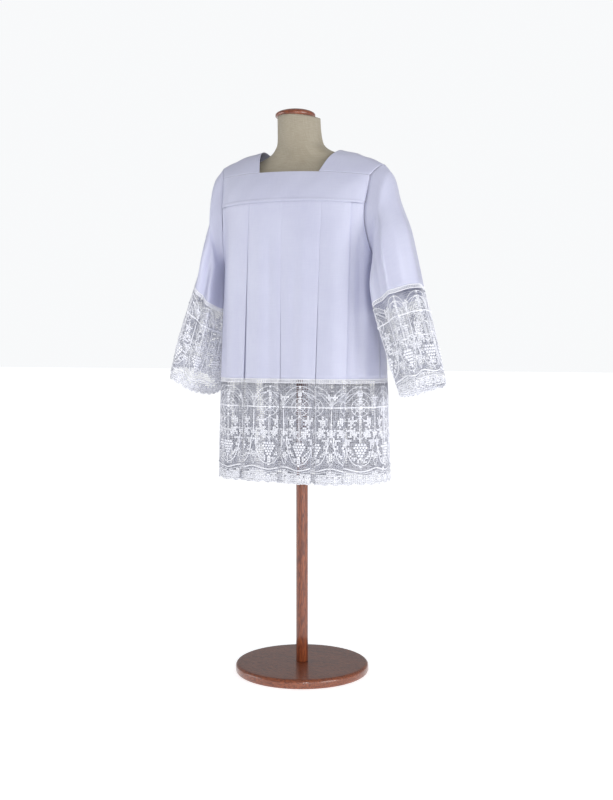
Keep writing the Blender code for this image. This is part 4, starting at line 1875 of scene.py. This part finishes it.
@dataclass
class Sleeve:
    """One wide sleeve with its insertion and lace cuff."""

    body: WornBody
    cut: GarmentCut
    finishes: Finishes
    side: Side
    repeats: int = 7
    cloth_rows: int = 56
    band_rows: int = 3
    lace_rows: int = 24
    band_gap: float = 0.0002
    starts: dict[Side, float] = field(default_factory=lambda: {Side.LEFT: 0.340, Side.RIGHT: 0.290})
    rings: dict[Side, np.ndarray] = field(default_factory=lambda: {
        Side.LEFT: np.array([
            # top_out, top_height, under_out, under_height, half_depth, ahead
            (0.2410, 1.3580, 0.2275, 1.1000, 0.0622, 0.0000),
            (0.2560, 1.3420, 0.2282, 1.0850, 0.0700, 0.0010),
            (0.2725, 1.2940, 0.2292, 1.0660, 0.0800, 0.0030),
            (0.2920, 1.2450, 0.2303, 1.0480, 0.0900, 0.0080),
            (0.3080, 1.1940, 0.2316, 1.0300, 0.1000, 0.0150),
            (0.3210, 1.1420, 0.2330, 1.0100, 0.1070, 0.0190),
            (0.3330, 1.0880, 0.2350, 0.9900, 0.1100, 0.0180),
            (0.3440, 1.0340, 0.2385, 0.9710, 0.1120, 0.0160),
            (0.3471, 1.0216, 0.2415, 0.9593, 0.1120, 0.0158),
            (0.3720, 0.9200, 0.2694, 0.8676, 0.1080, 0.0120),
            (0.4030, 0.7860, 0.3060, 0.7470, 0.0960, 0.0060),
        ]),
        Side.RIGHT: np.array([
            # top_out, top_height, under_out, under_height, half_depth, ahead
            (0.2410, 1.3580, 0.2275, 1.1000, 0.0622, 0.0000),
            (0.2520, 1.3430, 0.2282, 1.0850, 0.0670, 0.0000),
            (0.2590, 1.2645, 0.2295, 1.0580, 0.0760, 0.0000),
            (0.2715, 1.2110, 0.2325, 1.0200, 0.0865, 0.0000),
            (0.3005, 1.0850, 0.2360, 0.9850, 0.0920, 0.0000),
            (0.3039, 1.0759, 0.2366, 0.9820, 0.0925, 0.0000),
            (0.3084, 1.0637, 0.2390, 0.9700, 0.0930, 0.0000),
            (0.3220, 1.0270, 0.2450, 0.9365, 0.0945, 0.0000),
            (0.3580, 0.9310, 0.2685, 0.8473, 0.0975, 0.0000),
            (0.3940, 0.8180, 0.2930, 0.7440, 0.1000, 0.0000),
        ]),
    })
    folds: dict[Side, tuple[SleeveFold, ...]] = field(default_factory=lambda: {
        Side.LEFT: (
            # turn, drift, start, stop, spread, height
            SleeveFold(22.0, 2.0, 0.010, 0.09, 6.0, 0.0016),
            SleeveFold(84.0, 2.0, 0.010, 0.10, 6.0, 0.0014),
            SleeveFold(6.0, 4.0, 0.020, 0.58, 9.0, 0.0150),
            SleeveFold(-19.0, -2.0, 0.030, 0.36, 10.0, -0.0075),
            SleeveFold(40.0, 3.0, 0.030, 0.60, 15.0, -0.0150),
            SleeveFold(70.0, -1.0, 0.012, 0.60, 7.5, 0.0180),
            SleeveFold(94.0, 4.0, 0.040, 0.58, 11.0, -0.0095),
            SleeveFold(124.0, 2.0, 0.090, 0.62, 14.0, 0.0075),
            SleeveFold(228.0, -4.0, 0.090, 0.62, 17.0, 0.0075),
            SleeveFold(258.0, -6.0, 0.080, 0.55, 10.0, -0.0063),
            SleeveFold(286.0, -4.0, 0.040, 0.62, 15.0, 0.0088),
            SleeveFold(318.0, -4.0, 0.080, 0.60, 13.0, -0.0056),
        ),
        Side.RIGHT: (
            # turn, drift, start, stop, spread, height
            SleeveFold(22.0, 2.0, 0.010, 0.09, 6.0, 0.0016),
            SleeveFold(340.0, 2.0, 0.010, 0.10, 6.0, 0.0014),
            SleeveFold(20.0, 4.0, 0.030, 0.50, 15.0, 0.0075),
            SleeveFold(50.0, 4.0, 0.060, 0.55, 12.0, -0.0063),
            SleeveFold(80.0, 2.0, 0.040, 0.60, 14.0, 0.0063),
            SleeveFold(104.0, 2.0, 0.040, 0.52, 9.0, -0.0100),
            SleeveFold(128.0, 2.0, 0.030, 0.52, 8.5, 0.0170),
            SleeveFold(153.0, 2.0, 0.030, 0.50, 10.0, -0.0100),
            SleeveFold(232.0, -4.0, 0.090, 0.62, 17.0, 0.0075),
            SleeveFold(262.0, -6.0, 0.080, 0.55, 10.0, -0.0056),
            SleeveFold(290.0, -6.0, 0.060, 0.62, 16.0, 0.0081),
            SleeveFold(325.0, -4.0, 0.080, 0.60, 14.0, -0.0050),
        ),
    })

    def build(self) -> None:
        """Make the sleeve's cloth, its band and its lace."""
        word, cut = self.side.word, self.cut
        form = SleeveForm(self.body, self.side, self.rings[self.side], self.folds[self.side])
        start = self.starts[self.side]
        lace_start = start + cut.insertion_width
        surface = form.surface(0.0, start, self.cloth_rows)
        piece = add_wall(f"sleeve_{word}_cloth", surface, self.finishes.cloth, cut.thickness)
        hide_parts(f"sleeve_{word}")
        band = form.surface(start + 2 * self.band_gap, lace_start - self.band_gap, self.band_rows)
        name = f"cuff_band_{word}"
        band_piece = add_piece(name, Insertion(band).parts().mesh(name), self.finishes.band)
        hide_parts(f"cuff_insertion_{word}")
        surface.widest
        surface.longest
        surface.area
        lace = form.surface(lace_start, float(form.lengths[-1]), self.lace_rows)
        dress_lace(LaceStrip(lace, self.repeats), "cuff", word, self.finishes)


@dataclass
class DressForm:
    """The limbless form: a linen torso with its neck, on a varnished pole and base, with a cap."""

    finishes: Finishes
    sections: np.ndarray = field(default_factory=lambda: np.array([
        # height, half_width, front, back, squareness
        (0.798, 0.1960, 0.1000, 0.1220, 2.6),
        (0.803, 0.2030, 0.1070, 0.1290, 2.6),
        (0.815, 0.2070, 0.1090, 0.1310, 2.7),
        (0.900, 0.2080, 0.1080, 0.1250, 2.7),
        (1.000, 0.2070, 0.1060, 0.1170, 2.7),
        (1.100, 0.2070, 0.1040, 0.1120, 2.7),
        (1.200, 0.2090, 0.1010, 0.1070, 2.7),
        (1.270, 0.2110, 0.0960, 0.1020, 2.7),
        (1.305, 0.2110, 0.0850, 0.0950, 2.6),
        (1.328, 0.2090, 0.0730, 0.0840, 2.4),
        (1.343, 0.2040, 0.0620, 0.0740, 2.1),
        (1.354, 0.1940, 0.0560, 0.0650, 1.8),
        (1.363, 0.1770, 0.0530, 0.0580, 1.6),
        (1.372, 0.1500, 0.0550, 0.0530, 1.4),
        (1.382, 0.1180, 0.0590, 0.0480, 1.4),
        (1.391, 0.0920, 0.0640, 0.0440, 1.6),
        (1.402, 0.0730, 0.0690, 0.0390, 1.9),
        (1.416, 0.0620, 0.0750, 0.0330, 2.0),
        (1.445, 0.0565, 0.0860, 0.0240, 2.0),
        (1.480, 0.0545, 0.0915, 0.0175, 2.0),
    ]))
    torso_rows: int = 116
    round_steps: int = 128
    hub: float = 0.002
    crease: float = 50.0
    dome_start: float = 0.006
    base_edge: float = 0.009
    def torso(self) -> None:
        """The torso: superellipse sections read smoothly between the table's rows, capped."""
        rows = np.linspace(len(self.sections) - 1, 0, self.torso_rows)
        places = np.arange(len(self.sections), dtype=float)
        turn = full_turn(self.round_steps)
        height, half_width, front, back, squareness = (
            smooth_read(rows, places, column)[:, None] for column in self.sections.T
        )
        power = 2 / squareness
        across = signed_power(np.sin(turn), power)
        ahead = signed_power(np.cos(turn), power)
        depth = np.where(ahead > 0, front, back)
        points = np.stack([
            half_width * across, -depth * ahead, np.broadcast_to(height, across.shape)
        ], axis=-1)
        mesh = Surface(points, closed=True).mesh("form_linen_torso")
        close_ends(mesh)
        piece = add_piece("form_linen_torso", mesh, self.finishes.linen)
        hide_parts("form_torso")

    def turned(
        self, name: str, node: str, profile: list[tuple[float, float]], grain: tuple[float, float, float]
    ) -> None:
        """A turned wooden piece: a profile carried round an upright axis through its node's middle.

        Args:
            name: The piece's name.
            node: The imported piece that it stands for.
            profile: Radii and heights, from the axis at the top round to the axis below.
            grain: How much each axis is stretched, for the grain.
        """
        low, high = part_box(node)
        centre = ((low[0] + high[0]) / 2, (low[1] + high[1]) / 2)
        line = np.array(profile)
        turn = full_turn(self.round_steps)
        radius, height = line[:, 0][:, None], line[:, 1][:, None]
        points = np.stack([
            centre[0] + radius * np.cos(turn), centre[1] + radius * np.sin(turn),
            np.broadcast_to(height, (len(line), len(turn))),
        ], axis=-1)
        mesh = Surface(points, closed=True).mesh(name)
        close_ends(mesh)
        mesh.set_sharp_from_angle(angle=math.radians(self.crease))
        piece = add_piece(name, mesh, VarnishedWood(f"{name}_wood", grain).build())
        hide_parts(node)

    def build(self) -> None:
        """Make the torso, cap, pole and base."""
        self.torso()
        low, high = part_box("form_cap")
        radius = (high[0] - low[0]) / 2
        rise = high[2] - low[2] - self.dome_start
        dome = [
            (radius * math.cos(t), low[2] + self.dome_start + rise * math.sin(t))
            for t in np.linspace(math.radians(88), math.radians(4), 22)
        ]
        foot = [(radius, low[2] + 0.0035), (radius - 0.0006, low[2] + 0.0012), (radius - 0.002, low[2])]
        self.turned("cap_wood", "form_cap", [*dome, *foot, (self.hub, low[2])], (1.0, 6.0, 6.0))

        low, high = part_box("form_pole")
        radius = (high[0] - low[0]) / 2
        heights = np.linspace(high[2] - 0.001, low[2] + 0.001, 10)
        top = [(self.hub, high[2]), (radius - 0.001, high[2])]
        foot = [(radius - 0.001, low[2]), (self.hub, low[2])]
        sides = [(radius, z) for z in heights]
        self.turned("pole_wood", "form_pole", [*top, *sides, *foot], (6.0, 6.0, 0.6))

        low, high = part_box("form_base")
        radius, top, edge = (high[0] - low[0]) / 2, high[2], self.base_edge
        rounded = [
            (radius - edge + edge * math.cos(t), top - edge + edge * math.sin(t))
            for t in np.linspace(math.pi / 2, 0.0, 12)
        ]
        inner = [(self.hub, top), (0.05, top), (0.10, top), (radius - 0.03, top)]
        lower = [
            (radius, 0.006), (radius - 0.001, 0.003), (radius - 0.003, 0.0008), (radius - 0.005, 0.0)
        ]
        profile = [*inner, *rounded, *lower, (self.hub, 0.0)]
        self.turned("base_wood", "form_base", profile, (1.0, 7.0, 7.0))


def close_ends(mesh: bpy.types.Mesh) -> None:
    """Cap a tube mesh's two open rims with one face each, facing outwards.

    Args:
        mesh: The tube's mesh.
    """
    work = bmesh.new()
    work.from_mesh(mesh)
    rims = [edge for edge in work.edges if edge.is_boundary]
    bmesh.ops.holes_fill(work, edges=rims, sides=0)
    bmesh.ops.recalc_face_normals(work, faces=work.faces)
    work.to_mesh(mesh)
    work.free()
    mesh.update()


# ---- Studio ----


@dataclass
class Studio:
    """A plain pale floor, soft lights and the camera."""

    azimuth: float = 28.0
    distance: float = 3.0
    height: float = 0.87
    aim_height: float = 0.735
    aim_side: float = 0.012
    lens: float = 50.2
    sky: Colour = (0.98, 0.99, 1.0, 1.0)
    sky_light: float = 0.35
    sky_seen: float = 0.96
    floor_reach: float = 40.0
    floor_drop: float = 0.0005
    suns: tuple[tuple[str, float, float, float, float], ...] = (
        # name, turn, rise, softness, power
        ("front_light", 34.0, 7.0, 10.0, 0.62),
        ("left_light", 74.0, 3.0, 30.0, 1.90),
        ("right_light", -62.0, 2.0, 40.0, 1.05),
    )

    def camera(self) -> None:
        """Stand the camera in front and to the wearer's left, looking slightly down."""
        turn = math.radians(self.azimuth)
        data = bpy.data.cameras.new("studio_camera")
        data.sensor_fit = "VERTICAL"
        data.sensor_height = 36.0
        data.lens = self.lens
        camera = bpy.data.objects.new("studio_camera", data)
        camera.location = (self.distance * math.sin(turn), -self.distance * math.cos(turn), self.height)
        aim = Vector((self.aim_side * math.cos(turn), self.aim_side * math.sin(turn), self.aim_height))
        camera.rotation_euler = (aim - camera.location).to_track_quat("-Z", "Y").to_euler()
        bpy.context.scene.collection.objects.link(camera)
        bpy.context.scene.camera = camera

    def sun(self, name: str, turn: float, rise: float, softness: float, power: float) -> None:
        """A soft light from far away, the same over the whole floor.

        Args:
            name: Its name.
            turn: Degrees round from the front towards the wearer's left.
            rise: Degrees above the floor.
            softness: How many degrees wide it is.
            power: Its strength.
        """
        data = bpy.data.lights.new(name, "SUN")
        data.angle = math.radians(softness)
        data.energy = power
        lamp = bpy.data.objects.new(name, data)
        angle, lift = math.radians(turn), math.radians(rise)
        toward = Vector((
            math.sin(angle) * math.cos(lift), -math.cos(angle) * math.cos(lift), math.sin(lift)
        ))
        lamp.location = 4.0 * toward
        lamp.rotation_euler = toward.to_track_quat("Z", "Y").to_euler()
        bpy.context.scene.collection.objects.link(lamp)

    def build(self) -> None:
        """Set the floor, the lights, the pale surroundings and the camera."""
        mesh = bpy.data.meshes.new("studio_floor")
        corners = [(-1, -1), (1, -1), (1, 1), (-1, 1)]
        mesh.from_pydata(
            [(self.floor_reach * x, self.floor_reach * y, -self.floor_drop) for x, y in corners],
            [], [(0, 1, 2, 3)],
        )
        floor = bpy.data.objects.new("studio_floor", mesh)
        bpy.context.scene.collection.objects.link(floor)
        mesh.materials.append(PaleFloor().build())
        for light in self.suns:
            self.sun(*light)
        self.surroundings()
        bpy.context.scene.view_settings.view_transform = "Standard"
        self.camera()

    def surroundings(self) -> None:
        """Pale surroundings, which are brighter to look at than the light that they give."""
        world = bpy.data.worlds.new("studio_world")
        world.use_nodes = True
        tree = world.node_tree
        background = tree.nodes["Background"]
        background.inputs["Color"].default_value = self.sky
        path = tree.nodes.new("ShaderNodeLightPath")
        strength = tree.nodes.new("ShaderNodeMapRange")
        strength.inputs["To Min"].default_value = self.sky_light
        strength.inputs["To Max"].default_value = self.sky_seen
        tree.links.new(path.outputs["Is Camera Ray"], strength.inputs["Value"])
        tree.links.new(strength.outputs["Result"], background.inputs["Strength"])
        bpy.context.scene.world = world


def main() -> None:
    """Build every sub-assembly in order."""
    logging.basicConfig(level=logging.INFO, format="%(name)s: %(message)s")
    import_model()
    cut = GarmentCut.from_frame()
    body = WornBody()
    finishes = Finishes()
    DressForm(finishes).build()
    Shoulders(body, cut, finishes).build()
    BodyPanels(body, cut, finishes).build()
    for side in Side:
        Sleeve(body, cut, finishes, side).build()
    Studio().build()
    LOG.info("built every piece")


if __name__ == "__main__":
    main()
